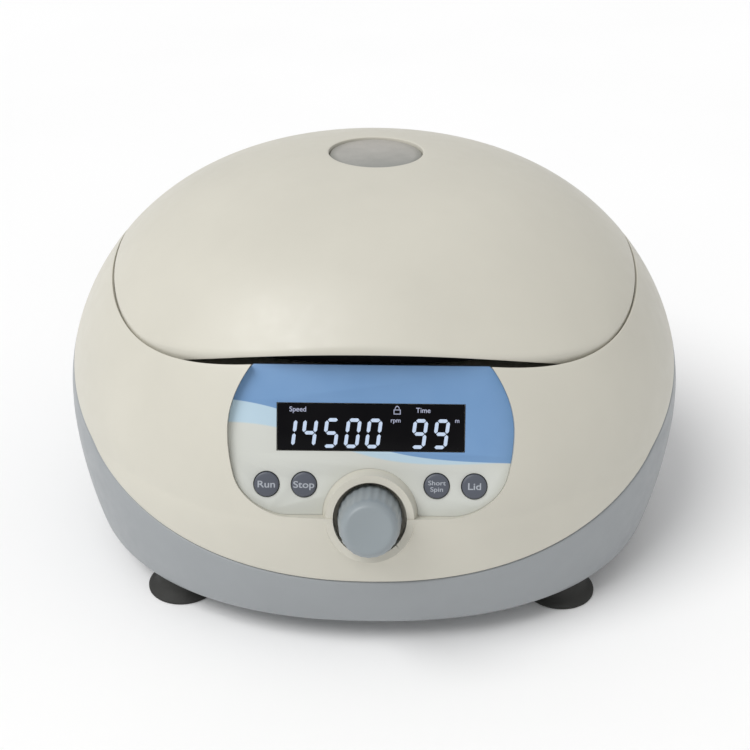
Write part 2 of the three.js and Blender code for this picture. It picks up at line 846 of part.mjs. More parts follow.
// Shallow V in side view, pressed in at the top.
function rocker() {
  const outline = [[-5.8, -4], [5.8, -4], [5.8, 4.6], [0, 3.2], [-5.8, 4.6]];
  const across = new THREE.Matrix4().makeBasis(
    new THREE.Vector3(0, 0, 1),
    new THREE.Vector3(0, 1, 0),
    new THREE.Vector3(-1, 0, 0),
  );
  const tilt = new THREE.Matrix4().makeTranslation(switch_x, rocker_y, connections_z)
    .multiply(new THREE.Matrix4().makeRotationX(-rocker_tilt))
    .multiply(across);
  return moved(prism(outline, -8.6, 8.6), tilt);
}

// ---------------------------------------------------------------------------
// Boards in the base, left and right of the motor
// ---------------------------------------------------------------------------

const plate_top_z = base_z + wall + gap + 2;
const board_z = 22;

function boardOnLegs(side, components) {
  const span = (near, far) => (side > 0 ? [near, far] : [-far, -near]);
  const [x0, x1] = span(60, 102);
  const legs = [];
  for (const y of [-31, 31]) {
    legs.push(shifted(disc(3, plate_top_z + gap, board_z + 1, 12), side * 64, y, 0));
    legs.push(shifted(disc(3, base_z + wall + gap, board_z + 1, 12), side * 98, y, 0));
  }
  const blocks = components.map(([near, far, y0, y1, height]) => {
    const [a, b] = span(near, far);
    return box(a, b, y0, y1, board_z + 1, board_z + 1.6 + height);
  });
  return joined([box(x0, x1, -35, 35, board_z, board_z + 1.6), ...legs, ...blocks]);
}

// ---------------------------------------------------------------------------
// Assembly
// ---------------------------------------------------------------------------

const onSpinAxis = (body) => shifted(body, 0, spin_y, 0);

part('base_shell', baseShell(), grey_plastic);
part('bottom_plate', bottomPlate(), steel);
part('upper_housing', upperHousing(), cream_plastic);

for (const [place, x, y] of footPlaces()) {
  part(`foot_${place}`, rubberFoot(), black_rubber).position.set(x, y, 0);
  part(`foot_screw_${place}`, footScrew(), steel).position.set(x, y, 0);
}

part('chamber_bowl', onSpinAxis(chamberBowl()), aluminium);
part('chamber_seal', onSpinAxis(turned([
  [chamber_r + 2, deck_z + gap],
  [chamber_r + 6, deck_z + gap],
  [chamber_r + 6, deck_z + 2],
  [chamber_r + 4.6, liner_z - 0.5],
  [chamber_r + 3.4, liner_z - 0.5],
  [chamber_r + 2, deck_z + 2],
  [chamber_r + 2, deck_z + gap],
], 28)), black_rubber);

part('motor_mount_plate', onSpinAxis(ring(motor_r + 0.4, 53, mount_z, mount_z + 3, 24)), steel);
for (let place = 0; place < 3; place += 1) {
  const angle = Math.PI / 2 + (place / 3) * 2 * Math.PI;
  const damper = disc(6, plate_top_z + gap, mount_z - gap, 14);
  const mesh = part(`damper_${place + 1}`, damper, black_rubber);
  mesh.position.set(46 * Math.cos(angle), spin_y + 46 * Math.sin(angle), 0);
}
part('motor_housing', onSpinAxis(motorHousing()), aluminium);
part('motor_stator', onSpinAxis(ring(19, motor_r - 3.3, 23, 45, 24)), steel);
part('motor_rotor', onSpinAxis(ring(shaft_r + gap, 18, 24, 44, 24)), steel);
part('bearing_lower', onSpinAxis(ring(shaft_r + gap, 7.3, motor_low_z + 0.3, motor_low_z + 2.9, 16)), steel);
part('bearing_upper', onSpinAxis(ring(shaft_r + gap, 7.3, motor_high_z - 2.9, motor_high_z - 0.3, 16)), steel);
part('rotor_shaft', onSpinAxis(rotorShaft()), steel);
part('rotor', onSpinAxis(rotorBody()), aluminium);
part('rotor_nut', onSpinAxis(rotorNut()), grey_plastic);

part('lid_shell', lidShell(), cream_plastic);
part('lid_liner', lidLiner(), dark_plastic);
part('sight_tube', onSpinAxis(sightTube()), dark_plastic);
part('lid_window', onSpinAxis(disc(window_r, window_z - window_thickness, window_z, 32)), white_plastic);
part('lid_window_ring', onSpinAxis(ring(well_tube_r - 3.4, well_tube_r + 2, 144.3, 145.3, 28)), black_rubber);
part('hinge_pin', rod(pin_r, -pin_half, pin_half, hinge_y, hinge_z, 16), steel);
part('hinge_spring', hingeSpring(), steel);
part('latch_hook', latchHook(), steel);
part('latch_bolt', rod(bolt_r, -28, -2.2, latch_y, latch_z, 12), steel);
part('latch_solenoid', latchSolenoid(), dark_plastic);

part('control_panel', controlPanel(), white_plastic, panel_frame);
const half_lens = [display_width / 2, display_height / 2];
part('display_lens', box(
  -half_lens[0],
  half_lens[0],
  display_v - half_lens[1],
  display_v + half_lens[1],
  -film,
  -0.1,
), dark_plastic, panel_frame);
part('display_module', box(-31, 31, display_v - 6.4, display_v + 6.4, -8, -1.8), dark_plastic, panel_frame);
part('control_board', controlBoard(), board_green, panel_frame);
for (const [name, u] of buttons) {
  part(`button_${name}`, buttonCap(), dark_plastic, panel_frame).position.set(u, button_v, 0);
}
part('encoder_body', encoderBody(), steel, panel_frame);
part('encoder_plunger', disc(2.9, -10.2, -8.8, 14), white_plastic, panel_frame).position.set(0, knob_v, 0);
part('knob_shaft', disc(2.9, -8.5, knob_bore_w - 0.4, 14), steel, panel_frame).position.set(0, knob_v, 0);
part('knob_cap', knobCap(), grey_plastic, panel_frame).position.set(0, knob_v, 0);

part('power_inlet', powerInlet(), dark_plastic);
part('inlet_pin_live', inletPin(inlet_x + pin_spacing, connections_z - 2), steel);
part('inlet_pin_earth', inletPin(inlet_x, connections_z + 2), steel);
part('inlet_pin_neutral', inletPin(inlet_x - pin_spacing, connections_z - 2), steel);
part('power_switch_frame', switchFrame(), dark_plastic);
part('power_switch_rocker', rocker(), dark_plastic);

// Components on the boards: nearest and farthest distance from the middle, front, back, height.
const power_components = [[68, 92, -30, -4, 20], [70, 82, 4, 16, 16], [86, 98, 6, 28, 8]];
const drive_components = [[64, 70, -28, 28, 18], [78, 90, -26, -14, 14], [78, 98, 0, 20, 4]];
part('power_board', boardOnLegs(-1, power_components), board_green);
part('drive_board', boardOnLegs(1, drive_components), board_green);

export default group;
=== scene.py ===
"""Bench-top mini centrifuge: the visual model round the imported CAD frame.

Lengths below are millimetres in the body's own axes: +Z up, front towards -Y, X and Y measured
from the middle of the body. The frame's Y axis is a little off that, by shift_y.
"""

import math

import bmesh
import bpy
import numpy as np
from mathutils import Matrix, Quaternion, Vector


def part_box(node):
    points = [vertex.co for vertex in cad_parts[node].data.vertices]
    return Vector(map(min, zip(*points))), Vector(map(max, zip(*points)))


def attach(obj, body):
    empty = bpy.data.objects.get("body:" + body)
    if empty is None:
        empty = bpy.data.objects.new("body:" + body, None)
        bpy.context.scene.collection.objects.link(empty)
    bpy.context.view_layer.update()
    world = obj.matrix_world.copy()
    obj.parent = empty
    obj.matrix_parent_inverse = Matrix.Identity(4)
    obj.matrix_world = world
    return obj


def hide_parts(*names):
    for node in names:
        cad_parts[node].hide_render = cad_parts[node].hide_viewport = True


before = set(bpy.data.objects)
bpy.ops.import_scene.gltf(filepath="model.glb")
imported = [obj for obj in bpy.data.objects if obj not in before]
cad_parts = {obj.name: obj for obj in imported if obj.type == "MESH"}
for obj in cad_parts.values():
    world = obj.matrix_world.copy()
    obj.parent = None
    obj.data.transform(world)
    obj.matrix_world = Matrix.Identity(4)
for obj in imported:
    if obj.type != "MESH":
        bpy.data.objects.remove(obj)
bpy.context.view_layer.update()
scene = bpy.context.scene
scene.view_settings.view_transform = "Standard"

# ---- Driving dimensions

MM = 0.001
AROUND = 320  # columns in every ring of the body's surfaces
GAP = 0.3
EDGE = 1.0  # rounding of the seams
PRINT = 0.03  # thickness of printed marks

HALF_WIDTH = 127.5
DEPTH_RATIO = 0.961
TOP_Z = 152.2
EQUATOR_Z = 57.9
BASE_Z = 9.5
WALL = 3.0
UPPER_ROUND = 2.6025
UPPER_RISE = 1.8214
LOWER_ROUND = 5.0
LOWER_RISE = 1.4844
LOWER_REACH = 106.4
PLAN_SQUARENESS = 0.28
BASE_EDGE = 4.0
BASE_OPENING_R = 78.0

SPLIT_Z = 84.6
SPLIT_SLOPE = 0.4231

LID_HALF_WIDTH = 104.0
LID_HALF_DEPTH = 99.0
LID_POWER = 2.5
LID_CORNER_POWER = 30.0
LID_REAR_Y = 83.0
LID_GAP = 0.8
SEAM = 0.7  # what is seen of the gap at the sides
FRONT_SEAM = 1.7  # and under the front lip
SHELF = 0.5  # a step in the opening's wall that closes most of the side gap from below
SHELF_DEPTH = 0.55
SHELF_HEIGHT = 1.3
LID_REAR_GAP = 2.2
LIP_Z = 115.7
LIP_DROP = 10.6
LIP_UNDER_DROP = 8.8
LIP_UNDER_POWER = 2.4
LIP_LIFT = 0.8  # the front lip stands this much proud of the dome
FINGER_HALF_WIDTH = 62.0
FINGER_Y = -84.0

HINGE_Y = 88.0
HINGE_Z = 119.5
BARREL_R = 6.4
TROUGH_R = 7.2
TROUGH_OUTER_R = 10.0
HINGE_HALF = 32.0
KNUCKLE_START = 11.4
KNUCKLE_LENGTH = 14.2
TROUGH_END = 0.6
LATCH_SLOT_X = (-4.0, 4.0)
LATCH_SLOT_Y = (-87.5, -74.2)
LUG_HALF = 3.5
LUG_HEIGHT = 8.8
LUGS = ((-31, 5), (-11, 4), (7, 4), (26, 5))  # where each starts along X, and its length

SPIN_Y = 8.0
DECK_Z = 101.0
DECK_THICKNESS = 2.5
RIM_WIDTH = 2.5
CHAMBER_R = 70.0
CHAMBER_FLOOR_Z = 55.0
LINER_Z = 105.5
LINER_THICKNESS = 2.5

TUBES = 12
MOUTH_R = 28.5
MOUTH_Z = 90.5
ROTOR_R = 65.5
ROTOR_BOTTOM_R = 57.0
ROTOR_BOTTOM_Z = 59.5
TUBE_R = 5.5
TUBE_DEPTH = 35.0
HUB_R = 6.3

WINDOW_R = 18.7
WINDOW_Z = 150.3
WINDOW_THICKNESS = 2.4
WINDOW_SEAT = 1.6  # width of the ledge that the window rests on
SIGHT_TUBE_R = 20.5
SIGHT_TUBE_WALL = 2.0
SIGHT_TUBE_TOP_Z = 144.0

PANEL_TILT = math.radians(24)
PANEL_Y = -102.8
PANEL_Z = 88.0
PANEL_TOP_V = 24.0
PANEL_BOTTOM_V = -30.0
PANEL_HALF_WIDTH = 50.2
PANEL_TOP_TAPER = 9.0
PANEL_LOW_TAPER = 4.6
PANEL_CORNER_R = 14.0
PANEL_RECESS = 1.5
FACET_MARGIN = 3.0  # flat round the panel's outline
FILM_TOP_V = 23.3
FILM_THICKNESS = 1.2
DISPLAY_WIDTH = 66.0
DISPLAY_HEIGHT = 16.6
DISPLAY_V = 1.2
BUTTON_R = 4.4
BUTTON_HOLE_R = 4.68
BUTTON_V = -19.4
BUTTON_PROUD = 0.8
BUTTON_FLANGE_R = 5.8
BUTTON_BACK_W = -6.3
BUTTON_FLANGE_W = -4.6
BUTTONS = {"run": -36.8, "stop": -23.5, "short_spin": 23.5, "lid": 36.8}
KNOB_V = -30.4
KNOB_R = 11.5
KNOB_FRONT_W = 25.0
KNOB_BACK_W = 0.8
KNOB_BORE_R = 3.2
KNOB_BORE_END_W = 18.4
FLUTES = 24
FLUTE_DEPTH = 0.28
FLUTE_EASE = 1.5
COLLAR_W = 6.5
COLLAR_BACK_W = -5.0
COLLAR_MOUTH_R = 13.0
COLLAR_ROOT_R = 18.0
COLLAR_TIP_R = 15.5

REAR_FACE_Y = 112.0
REAR_Z = (24.0, 56.0)
REAR_HALF = 45.0
INLET_X = -20.0
SWITCH_X = 24.0
CONNECTIONS_Z = 40.0
INLET_HALF = (14.3, 10.3)
SWITCH_HALF = (11.3, 8.3)
AIR_SLOTS = 15
AIR_SLOT_PITCH = 6.4
AIR_SLOT_HALF = 1.3
AIR_SLOT_Z = (66, 88)

FOOT_X = 75.0
FOOT_Y = 78.0

rotor_low, rotor_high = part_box("rotor")
shift_y = (rotor_low.y + rotor_high.y) / 2 / MM - SPIN_Y

body_axes = Matrix.Translation((0, shift_y * MM, 0))
panel_turn = Matrix.Rotation(math.pi / 2 - PANEL_TILT, 4, "X")
panel_axes = body_axes @ Matrix.Translation((0, PANEL_Y * MM, PANEL_Z * MM)) @ panel_turn
panel_in_body = Matrix.Translation((0, PANEL_Y, PANEL_Z)) @ panel_turn

# ---- Mesh helpers. Solids are made in millimetres and scaled when they are placed.


def in_scene(name, data):
    obj = bpy.data.objects.new(name, data)
    scene.collection.objects.link(obj)
    return obj


def mesh_object(name, points, faces):
    mesh = bpy.data.meshes.new(name)
    mesh.from_pydata([tuple(p) for p in points], [], faces)
    mesh.update()
    return in_scene(name, mesh)


def evaluated(obj):
    """The object's mesh as its modifiers or its curve make it."""
    bpy.context.view_layer.update()
    graph = bpy.context.evaluated_depsgraph_get()
    return bpy.data.meshes.new_from_object(obj.evaluated_get(graph))


def outwards(obj):
    work = bmesh.new()
    work.from_mesh(obj.data)
    bmesh.ops.recalc_face_normals(work, faces=work.faces)
    work.to_mesh(obj.data)
    work.free()
    return obj


def loft(name, rows, closed_loop=False):
    """Skin over rows of equal length, each a closed ring of points. Without closed_loop the
    first and last rings are capped."""
    count = len(rows[0])
    points = np.concatenate([np.asarray(row, float) for row in rows])
    faces = []
    spans = len(rows) if closed_loop else len(rows) - 1
    for j in range(spans):
        low, high = j * count, ((j + 1) % len(rows)) * count
        for i in range(count):
            k = (i + 1) % count
            faces.append((low + i, low + k, high + k, high + i))
    if not closed_loop:
        last = (len(rows) - 1) * count
        faces.append(tuple(range(count))[::-1])
        faces.append(tuple(range(last, last + count)))
    return outwards(mesh_object(name, points, faces))


def full_turn(count):
    return np.arange(count) / count * 2 * np.pi


def ring_points(radius, z, count=AROUND, centre_y=0.0):
    angle = full_turn(count)
    x, y = radius * np.cos(angle), centre_y + radius * np.sin(angle)
    return np.stack([x, y, np.full(count, float(z))], 1)


def spin_ring(radius, z):
    """Ring about the rotor's axis."""
    return ring_points(radius, z, centre_y=SPIN_Y)


def eased(start, corner, end, steps=4):
    """Points, or rings of them, that turn smoothly from start to end past a corner."""
    rows = []
    for step in range(steps + 1):
        t = step / steps
        rows.append(start * (1 - t) ** 2 + corner * 2 * t * (1 - t) + end * t * t)
    return rows


def rounded(profile, radius, steps=4):
    """A closed 2-D outline with every corner rounded, as far as its sides allow."""
    corners = [Vector(p) for p in profile]
    result = []
    for i, corner in enumerate(corners):
        before = corners[i - 1] - corner
        after = corners[(i + 1) % len(corners)] - corner
        reach = min(radius, before.length * 0.45, after.length * 0.45)
        start = corner + before.normalized() * reach
        end = corner + after.normalized() * reach
        result += eased(start, corner, end, steps)
    return [tuple(p) for p in result]


ON_AXIS = 1e-6


def lathe(name, profile, segments=96, radius=0.0, centre_y=0.0):
    """Turned ring or disc. The profile is closed, of (radius, height)."""
    if radius:
        profile = rounded(profile, radius)
    profile = [(max(r, 0.0), z) for r, z in profile]
    if all(r >= ON_AXIS for r, _ in profile):
        rows = [ring_points(r, z, segments, centre_y) for r, z in profile]
        return loft(name, rows, closed_loop=True)
    work = bmesh.new()
    rings = []
    for r, z in profile:
        count = 1 if r < ON_AXIS else segments
        rings.append([work.verts.new(p) for p in ring_points(r, z, count, centre_y)])
    for j, ring in enumerate(rings):
        other = rings[(j + 1) % len(rings)]
        if len(ring) == 1 and len(other) == 1:
            continue
        for i in range(segments):
            k = (i + 1) % segments
            if len(ring) == 1:
                work.faces.new((ring[0], other[k], other[i]))
            elif len(other) == 1:
                work.faces.new((ring[i], ring[k], other[0]))
            else:
                work.faces.new((ring[i], ring[k], other[k], other[i]))
    bmesh.ops.recalc_face_normals(work, faces=work.faces)
    mesh = bpy.data.meshes.new(name)
    work.to_mesh(mesh)
    work.free()
    return in_scene(name, mesh)


def oblong(x0, y0, x1, y1):
    """Outline of an upright rectangle from two of its corners."""
    return [(x0, y0), (x1, y0), (x1, y1), (x0, y1)]


def plug(name, radius, low, high, segments=64):
    """Plain cylinder along Z."""
    return lathe(name, oblong(0, low, radius, high), segments)


def prism(name, outline, low, high):
    """Outline in X and Y, drawn out along Z."""
    rows = [[(x, y, z) for x, y in outline] for z in (low, high)]
    return loft(name, rows)


def block(name, x0, x1, y0, y1, z0, z1, radius=0.0):
    """Box along Y with its four long edges rounded."""
    outline = oblong(x0, z0, x1, z1)
    if radius:
        outline = rounded(outline, radius, 6)
    rows = [[(x, y, z) for x, z in outline] for y in (y0, y1)]
    return loft(name, rows)


def rod(name, radius, x0, x1, y, z, segments=64):
    """Cylinder along X."""
    ring = ring_points(radius, 0, segments) + (y, z, 0)
    rows = [np.column_stack([np.full(segments, x), ring[:, :2]]) for x in (x0, x1)]
    return loft(name, rows)


def moved(obj, matrix):
    obj.data.transform(matrix)
    return obj


def shifted(obj, x, y):
    return moved(obj, Matrix.Translation((x, y, 0)))


def on_panel(obj):
    return moved(obj, panel_in_body)


def merged(name, objects):
    """One object from several that don't touch."""
    work = bmesh.new()
    for obj in objects:
        work.from_mesh(obj.data)
        bpy.data.objects.remove(obj)
    mesh = bpy.data.meshes.new(name)
    work.to_mesh(mesh)
    work.free()
    return in_scene(name, mesh)


def combine(target, tool, operation):
    modifier = target.modifiers.new("combine", "BOOLEAN")
    modifier.operation = operation
    modifier.object = tool
    modifier.solver = "EXACT"
    mesh = evaluated(target)
    target.modifiers.clear()
    target.data = mesh
    bpy.data.objects.remove(tool)
    return target


def cut(target, tool):
    return combine(target, tool, "DIFFERENCE")


def join(target, tool):
    return combine(target, tool, "UNION")


def trim(target, limit):
    return combine(target, limit, "INTERSECT")


def bevelled(obj, width, angle=40):
    """Adds a modifier that rounds the edges sharper than the angle."""
    modifier = obj.modifiers.new("edges", "BEVEL")
    modifier.width = width
    modifier.segments = 2
    modifier.limit_method = "ANGLE"
    modifier.angle_limit = math.radians(angle)
    return obj


def softened(obj, width, angle=40):
    """Rounds the sharp edges of a piece for good."""
    mesh = evaluated(bevelled(obj, width, angle))
    obj.modifiers.clear()
    obj.data = mesh
    return obj


def finished(obj, body, surface, stands_for=(), axes=body_axes, sharp=35):
    """Scales a piece to metres, puts it in place, smooths it, and ties it to its CAD body."""
    obj.data.transform(Matrix.Diagonal((MM, MM, MM, 1)))
    obj.matrix_world = axes
    obj.data.materials.clear()
    obj.data.materials.append(surface.material)
    obj.data.polygons.foreach_set("use_smooth", [True] * len(obj.data.polygons))
    obj.data.set_sharp_from_angle(angle=math.radians(sharp))
    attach(obj, body)
    if stands_for:
        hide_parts(*stands_for)


# ---- Materials

GRAIN_SCALE = 1400


def linear(*channels):
    """Linear colour of an 8-bit sRGB one."""
    shares = [c / 255 for c in channels]
    return [s / 12.92 if s <= 0.04045 else ((s + 0.055) / 1.055) ** 2.4 for s in shares]


class Graph:
    """A material's node tree, with the few nodes that every surface here uses."""

    def __init__(self, name):
        self.material = bpy.data.materials.new(name)
        self.material.use_nodes = True
        self.tree = self.material.node_tree
        self.shader = self.tree.nodes["Principled BSDF"]
        self.place = self.node("ShaderNodeTexCoord").outputs["Object"]

    def node(self, kind, **settings):
        made = self.tree.nodes.new(kind)
        for key, value in settings.items():
            setattr(made, key, value)
        return made

    def link(self, source, target):
        self.tree.links.new(source, target)

    def feed(self, name, source):
        """Drives one of the shader's own sockets."""
        self.link(source, self.shader.inputs[name])

    def fix(self, name, value):
        """Sets one of the shader's own sockets to a constant."""
        self.shader.inputs[name].default_value = value

    def noise(self, scale, detail, roughness=0.55, stretch=None):
        made = self.node("ShaderNodeTexNoise")
        made.inputs["Scale"].default_value = scale
        made.inputs["Detail"].default_value = detail
        made.inputs["Roughness"].default_value = roughness
        source = self.place
        if stretch:
            mapping = self.node("ShaderNodeMapping")
            mapping.inputs["Scale"].default_value = stretch
            self.link(self.place, mapping.inputs["Vector"])
            source = mapping.outputs["Vector"]
        self.link(source, made.inputs["Vector"])
        return made.outputs["Fac"]

    def math(self, operation, a, b=None, c=None, clamp=False):
        made = self.node("ShaderNodeMath", operation=operation, use_clamp=clamp)
        for socket, value in zip(made.inputs, (a, b, c)):
            if value is None:
                continue
            if isinstance(value, (int, float)):
                socket.default_value = value
            else:
                self.link(value, socket)
        return made.outputs[0]

    def span(self, value, low, high):
        made = self.node("ShaderNodeMapRange")
        made.inputs["From Min"].default_value = 0.3
        made.inputs["From Max"].default_value = 0.7
        made.inputs["To Min"].default_value = low
        made.inputs["To Max"].default_value = high
        self.link(value, made.inputs["Value"])
        return made.outputs["Result"]

    def mix(self, share, a, b):
        made = self.node("ShaderNodeMix", data_type="RGBA")
        self.link(share, made.inputs["Factor"])
        for socket, value in ((made.inputs[6], a), (made.inputs[7], b)):
            if isinstance(value, (list, tuple)):
                socket.default_value = (*value, 1)
            else:
                self.link(value, socket)
        return made.outputs[2]

    def across(self):
        """X and Y of the place, in metres."""
        split = self.node("ShaderNodeSeparateXYZ")
        self.link(self.place, split.inputs[0])
        return split.outputs["X"], split.outputs["Y"]

    def blend(self, noise, a, b):
        """From a to b as the noise rises."""
        return self.mix(self.span(noise, 0, 1), a, b)

    def bump(self, height, depth_mm):
        made = self.node("ShaderNodeBump")
        made.inputs["Distance"].default_value = depth_mm * MM
        made.inputs["Strength"].default_value = 1.0
        self.link(height, made.inputs["Height"])
        self.feed("Normal", made.outputs["Normal"])


def tinted(colour, factor):
    return [c * factor for c in colour]


def moulded(name, colour, roughness=0.42, grain_mm=0.012, variation=0.03):
    """Injection-moulded plastic: fine grain, slight mottling of colour and gloss."""
    graph = Graph(name)
    darker, lighter = tinted(colour, 1 - variation), tinted(colour, 1 + variation)
    graph.feed("Base Color", graph.blend(graph.noise(22, 4), darker, lighter))
    sheen = graph.noise(160, 5)
    graph.feed("Roughness", graph.span(sheen, roughness - 0.05, roughness + 0.06))
    graph.fix("IOR", 1.5)
    graph.bump(graph.noise(GRAIN_SCALE, 2), grain_mm)
    return graph


def metal(name, colour, roughness=0.32, stretch=(1, 1, 1), streak_scale=900, streak_mm=0.004):
    """Machined metal with fine tool marks along one direction."""
    graph = Graph(name)
    streaks = graph.noise(streak_scale, 3, 0.6, stretch)
    graph.feed("Base Color", graph.blend(streaks, tinted(colour, 0.9), tinted(colour, 1.08)))
    smears = graph.noise(60, 4)
    graph.feed("Roughness", graph.span(smears, roughness - 0.06, roughness + 0.1))
    graph.fix("Metallic", 1.0)
    graph.bump(streaks, streak_mm)
    return graph


def rubber(name, colour):
    """Dull rubber with a little dust on it."""
    graph = Graph(name)
    dust = graph.noise(90, 6, 0.7)
    graph.feed("Base Color", graph.blend(dust, tinted(colour, 0.8), tinted(colour, 1.5)))
    graph.feed("Roughness", graph.span(dust, 0.62, 0.82))
    graph.bump(graph.noise(1100, 3), 0.03)
    return graph


cream = moulded("cream_plastic", linear(202, 199, 187))
grey = moulded("grey_plastic", linear(149, 153, 156))
dark = moulded("dark_plastic", linear(28, 28, 31), 0.55)
black = moulded("black_plastic", linear(24, 24, 26), 0.4)
button_grey = moulded("button_plastic", linear(80, 84, 94), 0.4, variation=0.04)
knob_grey = moulded("knob_plastic", linear(139, 147, 151), 0.38, 0.008)
white = moulded("white_plastic", linear(228, 228, 222), 0.38)
green_board = moulded("circuit_board", linear(36, 92, 58), 0.35)
foot_rubber = rubber("foot_rubber", linear(38, 38, 36))
seal_rubber = rubber("seal_rubber", linear(30, 30, 31))
steel = metal("plain_steel", linear(190, 192, 195))
bowl_metal = metal("bowl_aluminium", linear(205, 207, 210), 0.34, (1, 1, 6), 500, 0.006)
rotor_metal = metal("rotor_aluminium", linear(196, 199, 204), 0.3, (1, 1, 5), 700, 0.004)


def frosted_window():
    """Frosted clear plastic: cloudy, with painted shade that darkens it towards the front and a
    painted shade along its front rim.
    """
    graph = Graph("frosted_window")
    x, y = graph.across()
    x = graph.math("DIVIDE", x, WINDOW_R * MM)
    y = graph.math("DIVIDE", graph.math("SUBTRACT", y, SPIN_Y * MM), WINDOW_R * MM)
    squares = graph.math("ADD", graph.math("MULTIPLY", x, x), graph.math("MULTIPLY", y, y))
    away = graph.math("SQRT", squares)
    # painted shade: the pane is coloured darker towards the front, mixed with the real haze below
    front = graph.math("MULTIPLY_ADD", y, -0.45, 0.5, clamp=True)
    haze = graph.noise(110, 5, 0.65)
    wisps = graph.math("MULTIPLY_ADD", haze, 0.5, -0.25)
    haze_and_shade = graph.math("ADD", front, wisps, clamp=True)
    pane = graph.mix(haze_and_shade, linear(194, 190, 183), linear(145, 147, 143))
    # painted shade: a darker ring at the pane's edge, strongest along the front
    rim = graph.math("MULTIPLY_ADD", away, 7.0, -5.8, clamp=True)
    shade = graph.math("MULTIPLY", rim, front)
    graph.feed("Base Color", graph.mix(shade, pane, linear(104, 107, 98)))
    graph.feed("Roughness", graph.span(haze, 0.36, 0.5))
    graph.fix("Transmission Weight", 0.15)
    graph.fix("IOR", 1.49)
    graph.bump(graph.noise(900, 3), 0.02)
    return graph


def panel_print():
    """Overlay film: a blue field over a pale one, parted by a long wave with a light-blue band."""
    graph = Graph("panel_print")
    u, v = (graph.math("DIVIDE", place, MM) for place in graph.across())
    middle, reach, fall, level = -15.0, 27.0, 11.8, 0.6  # of the wave
    bend = graph.math("TANH", graph.math("DIVIDE", graph.math("SUBTRACT", u, middle), reach))
    wave = graph.math("MULTIPLY_ADD", bend, -fall, level)
    above = graph.math("SUBTRACT", v, wave)
    blue_share = graph.math("MULTIPLY_ADD", above, 4.0, 0.5, clamp=True)
    band_width = graph.math("MULTIPLY_ADD", u, -0.085, 3.8)
    above_band = graph.math("ADD", above, band_width)
    band_share = graph.math("MULTIPLY_ADD", above_band, 1.6, 0.5, clamp=True)
    fade = graph.math("MULTIPLY_ADD", v, 0.016, 0.42, clamp=True)
    pale = graph.mix(fade, linear(199, 201, 195), linear(208, 209, 202))
    lower = graph.mix(band_share, pale, linear(180, 203, 217))
    field = graph.blend(graph.noise(30, 3), linear(105, 143, 186), linear(112, 149, 191))
    graph.feed("Base Color", graph.mix(blue_share, lower, field))
    graph.feed("Roughness", graph.span(graph.noise(120, 4), 0.3, 0.38))
    graph.bump(graph.noise(1200, 2), 0.004)
    return graph


def display_glass():
    """Near-black window over the display, faintly smudged."""
    graph = Graph("display_glass")
    smudge = graph.noise(45, 5, 0.6)
    graph.feed("Base Color", graph.blend(smudge, linear(5, 5, 8), linear(13, 12, 14)))
    graph.feed("Roughness", graph.span(smudge, 0.1, 0.2))
    graph.fix("Specular IOR Level", 0.08)
    return graph


def lit(name, colour, strength):
    """Glowing print. The glow is a little uneven, as an edge-lit symbol is."""
    graph = Graph(name)
    graph.feed("Emission Color", graph.blend(graph.noise(900, 2), tinted(colour, 0.86), colour))
    graph.fix("Emission Strength", strength)
    graph.fix("Base Color", (0.02, 0.02, 0.02, 1))
    return graph


def floor_paint():
    graph = Graph("floor_paint")
    graph.feed("Base Color", graph.blend(graph.noise(3, 3), [0.93] * 3, [0.95] * 3))
    graph.fix("Roughness", 0.9)
    return graph


# ---- The body's surface

turn = full_turn(AROUND)


def body_radius(z, inset=0.0):
    """Half the body's width at a height."""
    up = np.clip((z - EQUATOR_Z) / (TOP_Z - inset - EQUATOR_Z), 0, 1)
    down = np.clip((EQUATOR_Z - z) / LOWER_REACH, 0, 1)
    upper = (1 - up**UPPER_RISE) ** (1 / UPPER_ROUND)
    lower = (1 - down**LOWER_RISE) ** (1 / LOWER_ROUND)
    return (HALF_WIDTH - inset) * np.where(np.asarray(z) > EQUATOR_Z, upper, lower)


def dome_z(radius, inset=0.0):
    """Height of the dome where it is this wide, the inverse of body_radius."""
    share = np.clip(radius / (HALF_WIDTH - inset), 0, 1)
    rise = TOP_Z - inset - EQUATOR_Z
    return EQUATOR_Z + rise * (1 - share**UPPER_ROUND) ** (1 / UPPER_RISE)


def plan_factor(angle, z):
    """How far the plan reaches past an oval: not above the equator, more in the corners below."""
    depth = np.clip((EQUATOR_Z - np.asarray(z)) / (EQUATOR_Z - BASE_Z), 0, 1)
    power = 2 + PLAN_SQUARENESS * depth**0.7
    total = np.abs(np.cos(angle)) ** power + np.abs(np.sin(angle)) ** power
    return total ** (-1 / power)


def plan_points(angle, radius, z):
    z = np.broadcast_to(np.asarray(z, float), angle.shape)
    return np.stack([radius * np.cos(angle), DEPTH_RATIO * radius * np.sin(angle), z], 1)


def plan_ring(radius, z):
    return plan_points(turn, radius, z)


def plan_outline(radius):
    return [tuple(p[:2]) for p in plan_ring(radius, 0)]


def body_points(angle, z, inset=0.0, draw_in=0.0):
    radius = (body_radius(z, inset) - draw_in) * plan_factor(angle, z)
    return plan_points(angle, radius, z)


def split_height(angle, offset, inset=0.0):
    """Height at which the body's surface crosses the parting plane."""
    low = np.full(angle.shape, BASE_Z + 1.0)
    high = np.full(angle.shape, TOP_Z - inset)
    for _ in range(50):
        middle = (low + high) / 2
        y = body_points(angle, middle, inset)[:, 1]
        above = middle > SPLIT_Z + offset + SPLIT_SLOPE * y
        low, high = np.where(above, low, middle), np.where(above, middle, high)
    return (low + high) / 2


